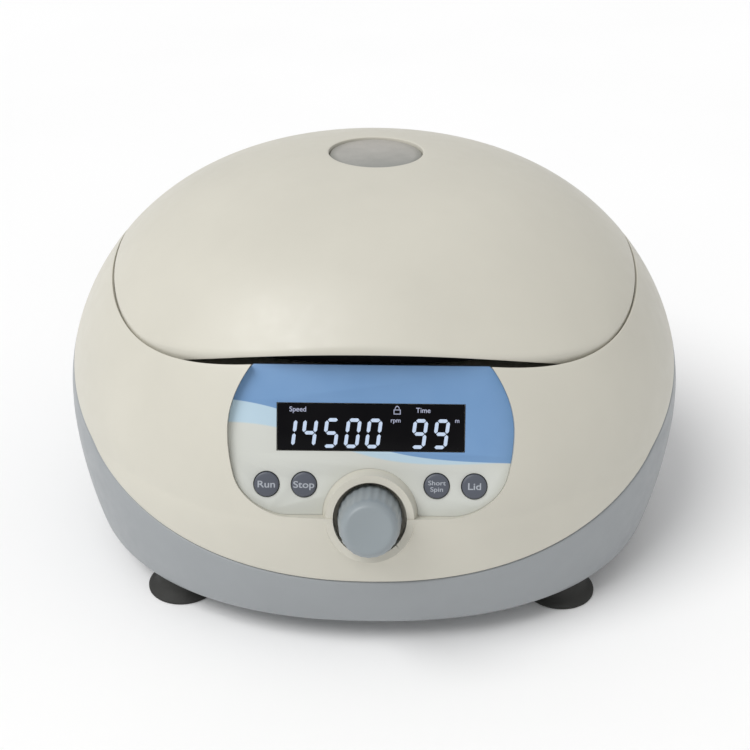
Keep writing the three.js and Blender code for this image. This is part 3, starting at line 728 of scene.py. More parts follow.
def lid_radius(angle, grow=0.0, rear_y=LID_REAR_Y, shorter_front=0.0):
    c, s = np.cos(angle), DEPTH_RATIO * np.sin(angle)
    depth = np.where(s < 0, LID_HALF_DEPTH + grow - shorter_front, LID_HALF_DEPTH + grow)
    oval = np.abs(c / (LID_HALF_WIDTH + grow)) ** LID_POWER + np.abs(s / depth) ** LID_POWER
    straight = np.where(s > 0, s / rear_y, 0)
    power = LID_CORNER_POWER
    return (oval ** (power / LID_POWER) + straight**power) ** (-1 / power)


def between(first, last, count):
    """Shares strictly between two rows."""
    return [first + (last - first) * (step + 1) / (count + 1) for step in range(count)]


def surface_rows(low, high, count, inset=0.0):
    return [body_points(turn, z, inset) for z in between(low, high, count)]


def body_solid(name, inset, segments=200, lower_rows=14, upper_rows=60):
    """The whole body as one closed solid, drawn in by the inset."""
    heights = list(np.linspace(BASE_Z + inset, EQUATOR_Z, lower_rows))
    for step in range(1, upper_rows):
        share = math.cos(step / upper_rows * math.pi / 2) ** 0.8
        heights.append(dome_z((HALF_WIDTH - inset) * share, inset))
    angle = full_turn(segments)
    return loft(name, [body_points(angle, z, inset) for z in heights])


def opening_radius():
    """Edge of the opening that the lid fills."""
    return lid_radius(turn, LID_GAP, LID_REAR_Y + LID_REAR_GAP)


# How far the cutting tools reach, well past what they cut
BEYOND = 60
ABOVE_Z = 180
BEHIND_Y = 140
WELL_LOW_Z = 90
NOTCH_FRONT_Y = 70


def panel_half_width(v):
    corner = PANEL_CORNER_R
    taper = PANEL_TOP_TAPER if v > 0 else PANEL_LOW_TAPER
    bulge = PANEL_HALF_WIDTH - taper * (v / PANEL_TOP_V) ** 2
    into_corner = PANEL_BOTTOM_V + corner - v
    if into_corner <= 0:
        return bulge
    return bulge - corner * (1 - math.sqrt(max(0.0, 1 - min(into_corner / corner, 1) ** 2)))


def panel_outline(grow, top_v=PANEL_TOP_V, rows=36):
    right = []
    for row in range(rows + 1):
        rise = 1 - math.cos(row / rows * math.pi / 2)
        v = PANEL_BOTTOM_V + rise * (PANEL_TOP_V - PANEL_BOTTOM_V)
        right.append((panel_half_width(v) + grow, v - grow * (1 - rise)))
    if top_v > PANEL_TOP_V:
        right.append((panel_half_width(PANEL_TOP_V) + grow, top_v))
    left = [(-u, v) for u, v in reversed(right)]
    return right + left


def arch_z(x):
    """Height of the front lip's lower edge."""
    return LIP_Z - LIP_DROP * (x / FINGER_HALF_WIDTH) ** 2


def front_share(angle):
    """1 along the front lip, 0 at the sides and behind, with a smooth change at the corners."""
    share = np.clip((-np.sin(angle) - 0.6) / 0.22, 0, 1)
    return share * share * (3 - 2 * share)


def panel_facet(open_r):
    """Flat block round the control panel, clear of the lid and of the finger gap."""
    facet = on_panel(prism("facet_block", panel_outline(FACET_MARGIN), -4, 20))
    trim(facet, body_solid("inner_limit", 1.0))
    under_lip = [(x, arch_z(x) - 1) for x in np.linspace(-80, 80, 41)]
    arch = prism("arch", [(-80, ABOVE_Z), *under_lip, (80, ABOVE_Z)], 0, BEYOND)
    moved(arch, Matrix.Translation((0, FINGER_Y + 20, 0)) @ Matrix.Rotation(math.pi / 2, 4, "X"))
    well = prism("well", plan_outline(open_r), WELL_LOW_Z, ABOVE_Z)
    cut(facet, trim(arch, well))
    half, low = panel_half_width(FILM_TOP_V) + FACET_MARGIN + 0.4, FILM_TOP_V - 0.5
    behind_film = prism("behind_film", oblong(-half, low, half, BEYOND), -9, 30)
    return cut(facet, on_panel(behind_film))


def hinge_trough():
    half = HINGE_HALF + TROUGH_END
    trough = rod("trough", TROUGH_OUTER_R, -half, half, HINGE_Y, HINGE_Z)
    return trim(trough, body_solid("outer_limit", 0.03))


def hinge_lugs():
    lugs = []
    for x, length in LUGS:
        lug = rod("lug", BARREL_R - 0.5, x, x + length, HINGE_Y, HINGE_Z, 48)
        front, rear = HINGE_Y - LUG_HALF, HINGE_Y + LUG_HALF
        foot = block("lug_foot", x, x + length, front, rear, HINGE_Z - LUG_HEIGHT, HINGE_Z)
        lugs.append(join(lug, foot))
    return merged("lugs", lugs)


def at_knob(obj):
    return shifted(obj, 0, KNOB_V)


def button_holes(low, high):
    holes = []
    for u in BUTTONS.values():
        holes.append(shifted(plug("button_hole", BUTTON_HOLE_R, low, high), u, BUTTON_V))
    return holes


def upper_housing():
    open_r = opening_radius()
    open_z = dome_z(open_r)
    # At the rear corners the opening's rim reaches below the parting plane.
    rim_r = open_r + RIM_WIDTH
    low_z = np.minimum(split_height(turn, GAP / 2), dome_z(rim_r))
    low_in_z = np.minimum(split_height(turn, GAP / 2, WALL), dome_z(rim_r, WALL) - 0.5)
    corner_low = body_points(turn, low_z)
    lip_edge = np.minimum(EDGE, (dome_z(open_r + EDGE) - low_z) * 0.4)
    above_low = body_points(turn, low_z + lip_edge)
    inside_low = body_points(turn, low_z, 0, EDGE)
    lip_in = body_points(turn, low_in_z, WALL)
    rim_out = plan_ring(open_r + EDGE, dome_z(open_r + EDGE))
    rim = plan_ring(open_r, open_z)
    rim_down = plan_ring(open_r, open_z - EDGE)
    # The step fades out along the front lip and towards the rear.
    step = SHELF * (1 - front_share(turn)) * np.clip(0.25 - np.sin(turn), 0, 0.25) / 0.25 + 0.01
    shelf_z = open_z - EDGE - SHELF_DEPTH
    deck_corner = plan_ring(open_r, DECK_Z)
    deck_up = plan_ring(open_r, DECK_Z + 1.5)
    deck_in = plan_ring(open_r - 1.5, DECK_Z)
    mouth = CHAMBER_R + 1
    under_z = DECK_Z - DECK_THICKNESS
    tub_top = dome_z(rim_r, WALL)
    rows = [
        *eased(inside_low, corner_low, above_low),
        *surface_rows(low_z + lip_edge, dome_z(open_r + EDGE), 52),
        *eased(rim_out, rim, rim_down),
        plan_ring(open_r, shelf_z),
        plan_ring(open_r - step, shelf_z - 0.1),
        plan_ring(open_r - step, shelf_z - SHELF_HEIGHT + 0.1),
        plan_ring(open_r, shelf_z - SHELF_HEIGHT - 0.1),
        *eased(deck_up, deck_corner, deck_in),
        spin_ring(mouth + 1, DECK_Z),
        spin_ring(mouth + 0.3, DECK_Z - 0.2),
        spin_ring(mouth, DECK_Z - 0.9),
        spin_ring(mouth, under_z),
        plan_ring(rim_r, under_z),
        plan_ring(rim_r, tub_top),
        *surface_rows(tub_top, low_in_z, 14, WALL),
        lip_in,
    ]
    housing = loft("upper_housing_shell", rows, closed_loop=True)
    join(housing, merged("added", [panel_facet(open_r), hinge_trough()]))
    cut(housing, on_panel(prism("recess", panel_outline(GAP, BEYOND), -PANEL_RECESS, BEYOND)))
    half = HINGE_HALF - TROUGH_END
    cut(housing, rod("groove", TROUGH_R, -half, half, HINGE_Y, HINGE_Z))
    for name, half, rear_y, low in (
        ("notch", HINGE_HALF, HINGE_Y + 1, HINGE_Z - 2),
        ("front_notch", HINGE_HALF + 1, LID_REAR_Y + LID_REAR_GAP, HINGE_Z - 7),
    ):
        cut(housing, block(name, -half, half, NOTCH_FRONT_Y, rear_y, low, ABOVE_Z))
    boss_profile = [
        (0, COLLAR_BACK_W), (COLLAR_ROOT_R, COLLAR_BACK_W), (COLLAR_TIP_R, COLLAR_W), (0, COLLAR_W),
    ]
    join(housing, on_panel(at_knob(lathe("boss", boss_profile, 128))))
    pocket = at_knob(plug("pocket", COLLAR_MOUTH_R, -PANEL_RECESS, BEYOND, 128))
    cut(housing, on_panel(merged("holes", [pocket, *button_holes(-10, 5)])))
    join(housing, hinge_lugs())
    cut(housing, block("latch_slot", *LATCH_SLOT_X, *LATCH_SLOT_Y, 90, 110, 1))
    return housing


def base_shell():
    low_z = split_height(turn, -GAP / 2)
    low_in_z = split_height(turn, -GAP / 2, WALL)
    floor_z = BASE_Z + WALL
    r = BASE_OPENING_R
    rows = [ring_points(r, floor_z), ring_points(r, BASE_Z + 0.4), ring_points(r + 0.4, BASE_Z)]
    for step in range(7):
        bend = step / 6 * math.pi / 2
        z = BASE_Z + BASE_EDGE * (1 - math.cos(bend))
        rows.append(body_points(turn, z, 0, BASE_EDGE * (1 - math.sin(bend))))
    start = np.full(AROUND, BASE_Z + BASE_EDGE)
    rows += surface_rows(start, low_z - EDGE, 46)
    corner = body_points(turn, low_z)
    below = body_points(turn, low_z - EDGE)
    inside = body_points(turn, low_z, 0, EDGE)
    rows += eased(below, corner, inside)
    rows.append(body_points(turn, low_in_z, WALL))
    rows += surface_rows(low_in_z, np.full(AROUND, floor_z + 1.0), 14, WALL)
    rows.append(body_points(turn, np.full(AROUND, floor_z), WALL + 1.5))
    shell = loft("base_housing", rows, closed_loop=True)

    half, low, high = REAR_HALF + WALL, REAR_Z[0] - WALL, REAR_Z[1] + WALL
    surround = block("surround", -half, half, REAR_FACE_Y - WALL, BEHIND_Y, low, high)
    join(shell, trim(surround, body_solid("rear_limit", 0.8)))
    cut(shell, block("recess", -REAR_HALF, REAR_HALF, REAR_FACE_Y, BEHIND_Y, *REAR_Z, 3))
    openings = []
    for name, x, (across, up) in (
        ("inlet_hole", INLET_X, INLET_HALF), ("switch_hole", SWITCH_X, SWITCH_HALF),
    ):
        low, high = CONNECTIONS_Z - up, CONNECTIONS_Z + up
        openings.append(block(name, x - across, x + across, 90, BEHIND_Y, low, high, 1))
    for column in range(AIR_SLOTS):
        x = (column - (AIR_SLOTS - 1) / 2) * AIR_SLOT_PITCH
        low, high = x - AIR_SLOT_HALF, x + AIR_SLOT_HALF
        openings.append(block("slot", low, high, 80, BEHIND_Y, *AIR_SLOT_Z, AIR_SLOT_HALF - 0.05))
    cut(shell, merged("openings", openings))
    rim = plan_outline(opening_radius() + RIM_WIDTH + 0.4)
    cut(shell, prism("rim_room", rim, DECK_Z - DECK_THICKNESS - GAP, ABOVE_Z))
    half = HINGE_HALF + 1
    cut(shell, rod("trough_room", TROUGH_OUTER_R + 0.4, -half, half, HINGE_Y, HINGE_Z))
    return shell


def lid_shell():
    front = front_share(turn)
    seam = SEAM + (FRONT_SEAM - SEAM) * front
    edge_r = np.where(np.sin(turn) > 0, lid_radius(turn), lid_radius(turn, LID_GAP) - seam)
    x, y = edge_r * np.cos(turn), DEPTH_RATIO * edge_r * np.sin(turn)

    def lifted(radius):
        """The dome, with the front lip standing a little proud of it."""
        away = np.clip((edge_r - radius) / 9.0, 0, 1)
        return dome_z(radius) + LIP_LIFT * front * (1 - away) ** 2

    edge_z = lifted(edge_r)

    def underside(radius, x, y):
        arch = LIP_Z - 0.1 - LIP_UNDER_DROP * np.abs(x / FINGER_HALF_WIDTH) ** LIP_UNDER_POWER
        raised = np.where((y < -60) & (np.abs(x) < 80), arch, -1e3)
        return np.maximum(dome_z(radius, WALL), raised)

    bottom_z = underside(edge_r, x, y)
    seat_z = WINDOW_Z - WINDOW_THICKNESS - GAP
    hole_r = WINDOW_R + GAP

    def from_window(share, inset_edge, start_r):
        """Plan points between the window's seat and the lid's edge."""
        start = spin_ring(start_r, 0)[:, :2]
        end = np.stack([x, y], 1) * (1 - inset_edge / edge_r)[:, None]
        return start + (end - start) * share

    def on_dome(plan):
        radius = np.hypot(plan[:, 0], plan[:, 1] / DEPTH_RATIO)
        return np.column_stack([plan, lifted(radius)])

    def under_dome(plan):
        radius = np.hypot(plan[:, 0], plan[:, 1] / DEPTH_RATIO)
        return np.column_stack([plan, underside(radius, plan[:, 0], plan[:, 1])])

    hole_top = on_dome(from_window(0, 0, hole_r))
    hole_edge = on_dome(from_window(0, 0, hole_r + EDGE))
    hole_down = hole_top - np.array([0, 0, 0.5])
    rim_in = on_dome(from_window(1, EDGE, hole_r))
    rim = np.column_stack([x, y, edge_z])
    rim_down = rim - np.array([0, 0, EDGE])
    low = np.column_stack([x, y, bottom_z])
    lip = 0.35
    shares = np.linspace(0, 1, 74)[1:-1]
    rows = [
        spin_ring(WINDOW_R - WINDOW_SEAT, seat_z - 2),
        spin_ring(WINDOW_R - WINDOW_SEAT, seat_z),
        spin_ring(hole_r, seat_z),
        *eased(hole_down, hole_top, hole_edge),
        *[on_dome(from_window(share, EDGE, hole_r + EDGE)) for share in shares],
        *eased(rim_in, rim, rim_down),
        *eased(low + np.array([0, 0, lip]), low, under_dome(from_window(1, lip, hole_r)), 3),
        *[under_dome(from_window(1, inset, hole_r)) for inset in (0.9, 1.8, 3.0, 4.5)],
        *[under_dome(from_window(s, 5.5, WINDOW_R + 4)) for s in np.linspace(1, 0, 24)],
        spin_ring(WINDOW_R + 4, seat_z - 2),
    ]
    lid = loft("lid_dome", rows, closed_loop=True)
    knuckles = []
    for start in (-KNUCKLE_START - KNUCKLE_LENGTH, KNUCKLE_START):
        tongue = block("tongue", start, start + KNUCKLE_LENGTH, 80, HINGE_Y, HINGE_Z, 140)
        trim(tongue, body_solid("tongue_limit", 0.02, 320))
        barrel = rod("barrel", BARREL_R, start, start + KNUCKLE_LENGTH, HINGE_Y, HINGE_Z)
        knuckles.append(join(tongue, barrel))
    return join(lid, merged("knuckles", knuckles))


finished(upper_housing(), "housing", cream, ["upper_housing"])
finished(base_shell(), "housing", grey, ["base_shell"])
finished(lid_shell(), "lid", cream, ["lid_shell"])

# ---- Lid: liner, window, ring


def lid_liner():
    """Tray with a raised rim and a round hole for the sight tube."""
    outer_r = lid_radius(turn, -10, LID_REAR_Y, 3)
    rim_r = lid_radius(turn, -10, 68, 3)
    thin_r = rim_r - 2
    plate_top = LINER_Z + LINER_THICKNESS
    rim_z = dome_z(rim_r + 1, WALL + 2 * GAP)
    hole_r = SIGHT_TUBE_R + SIGHT_TUBE_WALL + GAP
    rows = [
        spin_ring(hole_r, plate_top),
        spin_ring(hole_r, LINER_Z + 0.4),
        spin_ring(hole_r + 0.4, LINER_Z),
        plan_ring(outer_r - 1, LINER_Z),
        plan_ring(outer_r - 0.3, LINER_Z + 0.3),
        plan_ring(outer_r, LINER_Z + 1),
        plan_ring(outer_r, plate_top),
        plan_ring(rim_r, plate_top),
        plan_ring(rim_r, rim_z),
        plan_ring(thin_r, rim_z),
        plan_ring(thin_r, plate_top),
    ]
    return loft("lid_inner_cover", rows, closed_loop=True)


def sight_tube():
    """Tube from the liner up to the window's ring, with a flange that rests on the liner."""
    inner, outer, top = SIGHT_TUBE_R, SIGHT_TUBE_R + SIGHT_TUBE_WALL, SIGHT_TUBE_TOP_Z
    flange_z = LINER_Z + LINER_THICKNESS + GAP
    profile = [
        (inner, LINER_Z), (outer, LINER_Z), (outer, flange_z), (outer + 4, flange_z),
        (outer + 4, flange_z + 2), (outer, flange_z + 2), (outer, top), (inner, top),
    ]
    return lathe("sight_tube_ring", profile, 128, 0.5, SPIN_Y)


def window_pane():
    """Flat pane with a small chamfer below and a rounded edge above."""
    r, top, under = WINDOW_R, WINDOW_Z, WINDOW_Z - WINDOW_THICKNESS
    profile = [
        (0, under), (r - 0.3, under), (r, under + 0.3), (r, top - 0.5), (r - 0.15, top - 0.15),
        (r - 0.5, top), (0, top),
    ]
    return lathe("window_pane", profile, 128, centre_y=SPIN_Y)


def window_ring():
    low = SIGHT_TUBE_TOP_Z + GAP
    profile = oblong(WINDOW_R - WINDOW_SEAT, low, SIGHT_TUBE_R + SIGHT_TUBE_WALL, low + 1)
    return lathe("window_ring", profile, 96, 0.3, SPIN_Y)


finished(lid_liner(), "lid", dark, ["lid_liner"])
finished(sight_tube(), "lid", dark, ["sight_tube"])

finished(window_pane(), "lid", frosted_window(), ["lid_window"])
finished(window_ring(), "lid", seal_rubber, ["lid_window_ring"])

# ---- Chamber and rotor


def chamber_bowl():
    """Turned bowl with a flange under the deck and a hole for the shaft."""
    r, z = CHAMBER_R, CHAMBER_FLOOR_Z
    flange_z = DECK_Z - DECK_THICKNESS - GAP
    sheet = 1.5
    profile = [
        (12, z - sheet), (r - 6, z - sheet), (r - 1, z + 3), (r + sheet, flange_z - sheet - 6),
        (r + sheet, flange_z - sheet), (r + 10, flange_z - sheet), (r + 10, flange_z), (r, flange_z),
        (r, flange_z - 8), (r - 2.5, z + 4), (r - 7, z), (13.5, z), (13.5, z + 3), (12, z + 3),
    ]
    return lathe("rotor_chamber", profile, 160, 1.2, SPIN_Y)


def rotor_body():
    """Turned head with slanted bores that lean outwards at 45 degrees."""
    low_z, rim_z = ROTOR_BOTTOM_Z, MOUTH_Z + 11
    profile = [
        (HUB_R, low_z), (ROTOR_BOTTOM_R, low_z), (ROTOR_R, low_z + 8), (ROTOR_R, low_z + 18),
        (MOUTH_R + 14, rim_z), (MOUTH_R + 11, rim_z), (MOUTH_R - 11, MOUTH_Z - 11),
        (MOUTH_R - 13.5, MOUTH_Z - 11), (MOUTH_R - 13.5, MOUTH_Z + 1), (HUB_R, MOUTH_Z + 1),
    ]
    body = lathe("rotor_head", profile, 192, 0.8)
    lean = Matrix.Translation((MOUTH_R, 0, MOUTH_Z)) @ Matrix.Rotation(math.pi * 0.75, 4, "Y")
    for place in range(TUBES):
        bore = plug("bore", TUBE_R, -12, TUBE_DEPTH, 40)
        cut(body, moved(bore, Matrix.Rotation(place / TUBES * 2 * math.pi, 4, "Z") @ lean))
    return shifted(body, 0, SPIN_Y)


def rotor_nut():
    """Cap nut. Its middle outer corner is fully rounded, those above and below it in part."""
    z = MOUTH_Z + 1 + GAP
    profile = [(3.3, z), (11, z), (11, z + 4), (8.5, z + 9), (0, z + 10.5), (0, z + 7), (3.3, z + 7)]
    outline = [profile[0], *rounded(profile[1:4], 0.8)[3:-3], *profile[4:]]
    return lathe("rotor_cap_nut", outline, 96, 0, SPIN_Y)


def chamber_seal():
    """Tapered seal round the chamber's mouth, just short of the liner."""
    inner, outer = CHAMBER_R + 2, CHAMBER_R + 6
    low, shoulder, top = DECK_Z + GAP, DECK_Z + 2, LINER_Z - 0.5
    profile = [
        (inner, low), (outer, low), (outer, shoulder),
        (outer - 1.4, top), (inner + 1.4, top), (inner, shoulder),
    ]
    return lathe("lid_seal", profile, 160, 0.5, SPIN_Y)


finished(chamber_bowl(), "housing", bowl_metal, ["chamber_bowl"])
finished(rotor_body(), "spinning_rotor", rotor_metal, ["rotor"], sharp=30)
finished(rotor_nut(), "spinning_rotor", knob_grey, ["rotor_nut"])
finished(chamber_seal(), "housing", seal_rubber, ["chamber_seal"])

# ---- Hinge spring


def hinge_spring():
    """Coil of round wire about the hinge pin."""
    turns, steps, wire_sides = 5, 40, 12
    radius, wire, length = 4.2, 0.6, 12.0
    rows = []
    for step in range(turns * steps + 1):
        angle = step / steps * 2 * math.pi
        along = (step / (turns * steps) - 0.5) * length
        out = Vector((0, math.cos(angle), math.sin(angle)))
        centre = Vector((along, HINGE_Y, HINGE_Z)) + out * radius
        row = []
        for side in range(wire_sides):
            a = side / wire_sides * 2 * math.pi
            sideways = Vector((wire * math.sin(a), 0, 0))
            row.append(tuple(centre + out * wire * math.cos(a) + sideways))
        rows.append(row)
    return loft("lid_spring", rows)


finished(hinge_spring(), "housing", steel, ["hinge_spring"])

# ---- Control panel. These pieces keep the panel's own axes: u right, v up the slope, w outwards.


def display_outline(grow):
    half_w, half_h = DISPLAY_WIDTH / 2 + grow, DISPLAY_HEIGHT / 2 + grow
    return oblong(-half_w, DISPLAY_V - half_h, half_w, DISPLAY_V + half_h)


def panel_film():
    """Printed overlay with holes for the display, the buttons and the knob's collar."""
    outline = [(u, min(v, FILM_TOP_V)) for u, v in panel_outline(GAP - 0.03)]
    film = prism("panel_overlay", outline, -FILM_THICKNESS, 0)
    window = prism("display_hole", display_outline(GAP), -3, 3)
    slope = (COLLAR_ROOT_R - COLLAR_TIP_R) / (COLLAR_W - COLLAR_BACK_W)
    wide, narrow = (COLLAR_ROOT_R - slope * (w - COLLAR_BACK_W) + 0.04 for w in (-3, 3))
    knob_hole = at_knob(lathe("knob_hole", [(0, -3), (wide, -3), (narrow, 3), (0, 3)], 128))
    cut(film, merged("panel_holes", [window, knob_hole, *button_holes(-3, 3)]))
    return softened(film, 0.15, 50)


def display_lens():
    lens = prism("display_window", rounded(display_outline(0), 0.6), -FILM_THICKNESS, 0)
    return softened(lens, 0.2)


SEGMENTS = {"0": "abcdef", "1": "bc", "4": "fgbc", "5": "afgcd", "9": "abcdfg"}
DISPLAY_DIGITS = [
    ("1", -29.0), ("4", -21.7), ("5", -14.0), ("0", -6.4), ("0", 1.0), ("9", 17.1), ("9", 24.8),
]
DIGIT_V = -0.9
DIGIT_HEIGHT = 10.6
DIGIT_WIDTH = 5.2
STROKE = 1.25
SEGMENT_GAP = 0.22
DIGIT_LEAN = math.tan(math.radians(7))


def bar(start, end):
    """Flat segment with pointed ends, as six points in order."""
    a, b = Vector(start), Vector(end)
    along = (b - a).normalized()
    across = Vector((-along.y, along.x)) * STROKE / 2
    a, b = a + along * SEGMENT_GAP, b - along * SEGMENT_GAP
    tip = along * STROKE / 2
    return [a, a + tip + across, b - tip + across, b, b - tip - across, a + tip - across]


def seven_segments(name, digits):
    """Slanted seven-segment figures, each a digit and its place along the display."""
    w, h = (DIGIT_WIDTH - STROKE) / 2, (DIGIT_HEIGHT - STROKE) / 2
    lines = {
        "a": ((-w, h), (w, h)), "b": ((w, h), (w, 0)), "c": ((w, 0), (w, -h)),
        "d": ((-w, -h), (w, -h)), "e": ((-w, 0), (-w, -h)), "f": ((-w, h), (-w, 0)),
        "g": ((-w, 0), (w, 0)),
    }
    bars = []
    for digit, u in digits:
        for segment in SEGMENTS[digit]:
            points = bar(*lines[segment])
            outline = [(u + p.x + DIGIT_LEAN * p.y, DIGIT_V + p.y) for p in points]
            bars.append(prism("bar", outline, 0.0, PRINT))
    return merged(name, bars)


def lettering(name, body, size, u, v, low_w=0.0, thickness=PRINT, width=1.0):
    """Words in the plain built-in typeface, centred on a point of the panel."""
    curve = bpy.data.curves.new(name, "FONT")
    curve.body = body
    curve.size = size
    curve.align_x = "CENTER"
    curve.align_y = "CENTER"
    curve.extrude = thickness / 2
    curve.offset = size * 0.012
    text = in_scene(name + "_text", curve)
    mesh = evaluated(text)
    bpy.data.objects.remove(text)
    place = Matrix.Translation((u, v, low_w + thickness / 2))
    return moved(in_scene(name, mesh), place @ Matrix.Diagonal((width, 1, 1, 1)))


def padlock(name, u, v):
    """Padlock symbol: an oblong frame with an arched shackle."""
    half, top, line, shackle_v = 1.25, 0.5, 0.28, 0.62
    body = prism("lock_body", oblong(-half, -half, half, top), 0.0, PRINT)
    hole = oblong(line - half, line - half, half - line, top - line)
    cut(body, prism("lock_hole", hole, -1, PRINT + 1))
    arch = []
    for radius, start, end in ((0.85, 0, math.pi), (0.6, math.pi, 0)):
        for a in np.linspace(start, end, 17):
            arch.append((radius * math.cos(a), shackle_v + radius * 1.4 * math.sin(a)))
    shackle = prism("shackle", arch, 0.0, PRINT)
    return shifted(merged(name, [body, shackle]), u, v)


def button_cap(name):
    """Round key with a rounded rim, a faintly domed face and a flange behind the panel."""
    r, face = BUTTON_R, BUTTON_PROUD
    profile = [
        (0, BUTTON_BACK_W), (BUTTON_FLANGE_R, BUTTON_BACK_W), (BUTTON_FLANGE_R, BUTTON_FLANGE_W),
        (r, BUTTON_FLANGE_W), (r, face - 0.5), (r - 0.12, face - 0.2), (r - 0.45, face),
        (r - 1.0, face + 0.04), (r * 0.6, face + 0.13), (r * 0.3, face + 0.18), (0, face + 0.2),
    ]
    return lathe(name, profile, 72)


def knob():
    """Tapered cap with a fluted grip and a bevelled face."""
    r, face, back = KNOB_R, KNOB_FRONT_W, KNOB_BACK_W
    profile = [
        (0, KNOB_BORE_END_W), (KNOB_BORE_R, KNOB_BORE_END_W), (KNOB_BORE_R, back), (r - 0.4, back),
        (r, back + 0.4), (r - 0.05, 2.7), (r - 0.2, 6), (r - 0.6, 14), (r - 1.15, face - 4.2),
        (r - 1.45, face - 2.9), (r - 1.85, face - 1.9), (r - 2.4, face - 1.05), (r - 3.0, face - 0.4),
        (r - 3.5, face - 0.08), (r - 4.0, face), (r - 5.0, face - 0.06), (r * 0.35, face - 0.3),
        (0, face - 0.35),
    ]
    cap = lathe("speed_knob", profile, FLUTES * 8)
    grip_low, grip_high = back + 0.4, face - 2.2
    for vertex in cap.data.vertices:
        x, y, z = vertex.co
        away = math.hypot(x, y)
        if away > r / 2:
            start = min(max((z - grip_low) / FLUTE_EASE, 0), 1)
            end = min(max((grip_high - z) / FLUTE_EASE, 0), 1)
            groove = 0.5 - 0.5 * math.cos(FLUTES * math.atan2(y, x))
            share = 1 - FLUTE_DEPTH * start * end * groove / away
            vertex.co = (x * share, y * share, z)
    return cap


def on_display(obj, light):
    finished(obj, "housing", light, (), panel_axes)


film = panel_film()
finished(film, "housing", panel_print(), ["control_panel"], panel_axes, 50)
lens = display_lens()
finished(lens, "housing", display_glass(), ["display_lens"], panel_axes, 50)
digit_light = lit("digit_glow", linear(206, 224, 250), 0.9)
label_light = lit("label_glow", linear(190, 196, 224), 0.75)
on_display(seven_segments("display_digits", DISPLAY_DIGITS), digit_light)
for name, body, size, u, v in (
    ("label_speed", "Speed", 2.5, -25.8, 7.4),
    ("label_time", "Time", 2.5, 18.4, 7.4),
    ("label_rpm", "rpm", 2.2, 8.7, 3.8),
    ("label_minutes", "m", 2.2, 30.4, 3.9),
):
    on_display(lettering(name, body, size, u, v), label_light)
on_display(padlock("label_lock", 9.2, 7.2), label_light)

legend = moulded("legend_print", linear(166, 171, 179), 0.5)
BUTTON_TEXT = {"run": "Run", "stop": "Stop", "short_spin": "Short\nSpin", "lid": "Lid"}
for key, u in BUTTONS.items():
    cap = shifted(button_cap(f"{key}_key"), u, BUTTON_V)
    finished(cap, f"{key}_button", button_grey, [f"button_{key}"], panel_axes)
    size = 2.3 if "\n" in BUTTON_TEXT[key] else 3.4
    low_w = BUTTON_PROUD + 0.12
    text = lettering(f"{key}_legend", BUTTON_TEXT[key], size, u, BUTTON_V, low_w, 0.1, 1.22)
    finished(text, f"{key}_button", legend, (), panel_axes)

finished(at_knob(knob()), "knob", knob_grey, ["knob_cap"], panel_axes)

# ---- Feet

foot_profile = [
    (3.6, 0.6), (11.2, 0.6), (11.6, 0.0), (13.6, 0.0), (14.0, 0.35), (14.0, 1.0), (13.6, 1.5),
    (12.4, 2.3), (11.2, 3.3), (10.5, 4.4), (10.0, 6.0), (9.7, 7.6), (9.5, 9.2), (3.6, 9.2),
]
for side, x in (("left", -FOOT_X), ("right", FOOT_X)):
    for end, y in (("front", -FOOT_Y), ("rear", FOOT_Y)):
        place = f"{end}_{side}"
        foot = shifted(lathe(f"rubber_foot_{place}", foot_profile, 72), x, y)
        finished(foot, "housing", foot_rubber, [f"foot_{place}"])

# ---- CAD nodes that stay get their materials and softer edges

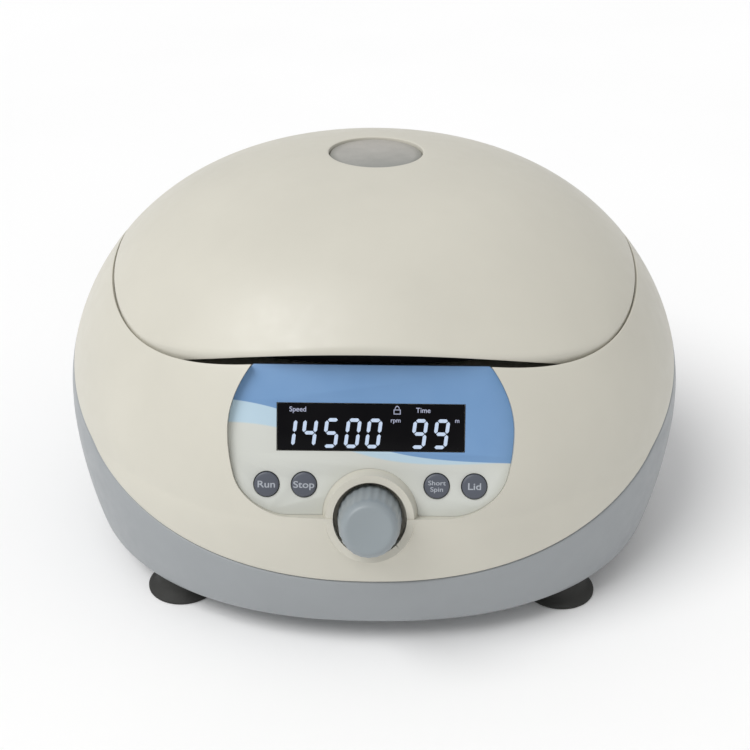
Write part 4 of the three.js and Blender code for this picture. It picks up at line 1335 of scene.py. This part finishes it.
CORNERS = ("front_left", "front_right", "rear_left", "rear_right")
KEPT = (
    (steel, (
        "bottom_plate", "motor_mount_plate", "motor_stator", "motor_rotor", "bearing_lower",
        "bearing_upper", "rotor_shaft", "hinge_pin", "latch_hook", "latch_bolt", "encoder_body",
        "knob_shaft", "inlet_pin_live", "inlet_pin_earth", "inlet_pin_neutral",
        *(f"foot_screw_{place}" for place in CORNERS),
    )),
    (bowl_metal, ("motor_housing",)),
    (black, ("latch_solenoid", "display_module", "power_inlet", "power_switch_frame")),
    (dark, ("power_switch_rocker",)),
    (white, ("encoder_plunger",)),
    (green_board, ("control_board", "power_board", "drive_board")),
    (seal_rubber, ("damper_1", "damper_2", "damper_3")),
)
SOFT_EDGES = {
    "power_inlet": 0.4, "power_switch_frame": 0.4, "power_switch_rocker": 0.35, "latch_hook": 0.25,
    "latch_solenoid": 0.4, "inlet_pin_live": 0.25, "inlet_pin_earth": 0.25,
    "inlet_pin_neutral": 0.25, "bottom_plate": 0.2,
}
for surface, nodes in KEPT:
    for node in nodes:
        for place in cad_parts[node].material_slots:
            place.material = surface.material
for node, width in SOFT_EDGES.items():
    bevelled(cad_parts[node], width * MM)

# ---- Floor, light and camera

FLOOR_HALF = 6.0  # metres
corners = oblong(-FLOOR_HALF, -FLOOR_HALF, FLOOR_HALF, FLOOR_HALF)
floor = mesh_object("floor", [(x, y, 0) for x, y in corners], [(0, 1, 2, 3)])
floor.data.materials.append(floor_paint().material)

world = bpy.data.worlds.new("studio")
scene.world = world
world.use_nodes = True
background = world.node_tree.nodes["Background"]
background.inputs["Color"].default_value = (1.0, 1.0, 1.0, 1)
background.inputs["Strength"].default_value = 0.6

# A wide sun, so that shadows are soft and the floor is lit evenly
key_data = bpy.data.lights.new("key", "SUN")
key_data.energy = 1.8
key_data.angle = math.radians(35)
key = in_scene("key", key_data)
key.rotation_mode = "QUATERNION"
key.rotation_quaternion = Vector((0.55, 0.4, -0.95)).to_track_quat("-Z", "Y")

camera_data = bpy.data.cameras.new("camera")
camera = in_scene("camera", camera_data)
scene.camera = camera
CAMERA_AZIMUTH = math.radians(0.6)
CAMERA_ELEVATION = math.radians(29.27)
CAMERA_ROLL = math.radians(0.35)
CAMERA_DISTANCE = 573.9
AIM_Z = 53.0
aim = Vector((0, shift_y, AIM_Z)) * MM
level = math.cos(CAMERA_ELEVATION)
back = Vector((
    math.sin(CAMERA_AZIMUTH) * level,
    -math.cos(CAMERA_AZIMUTH) * level,
    math.sin(CAMERA_ELEVATION),
))
camera.location = aim + back * CAMERA_DISTANCE * MM
camera.rotation_mode = "QUATERNION"
roll = Quaternion((0, 0, 1), CAMERA_ROLL)
camera.rotation_quaternion = (-back).to_track_quat("-Z", "Y") @ roll
camera_data.lens = 63.57
camera_data.sensor_width = 36.0
camera_data.shift_x = 0.001
camera_data.clip_start = 0.01
camera_data.clip_end = 30.0
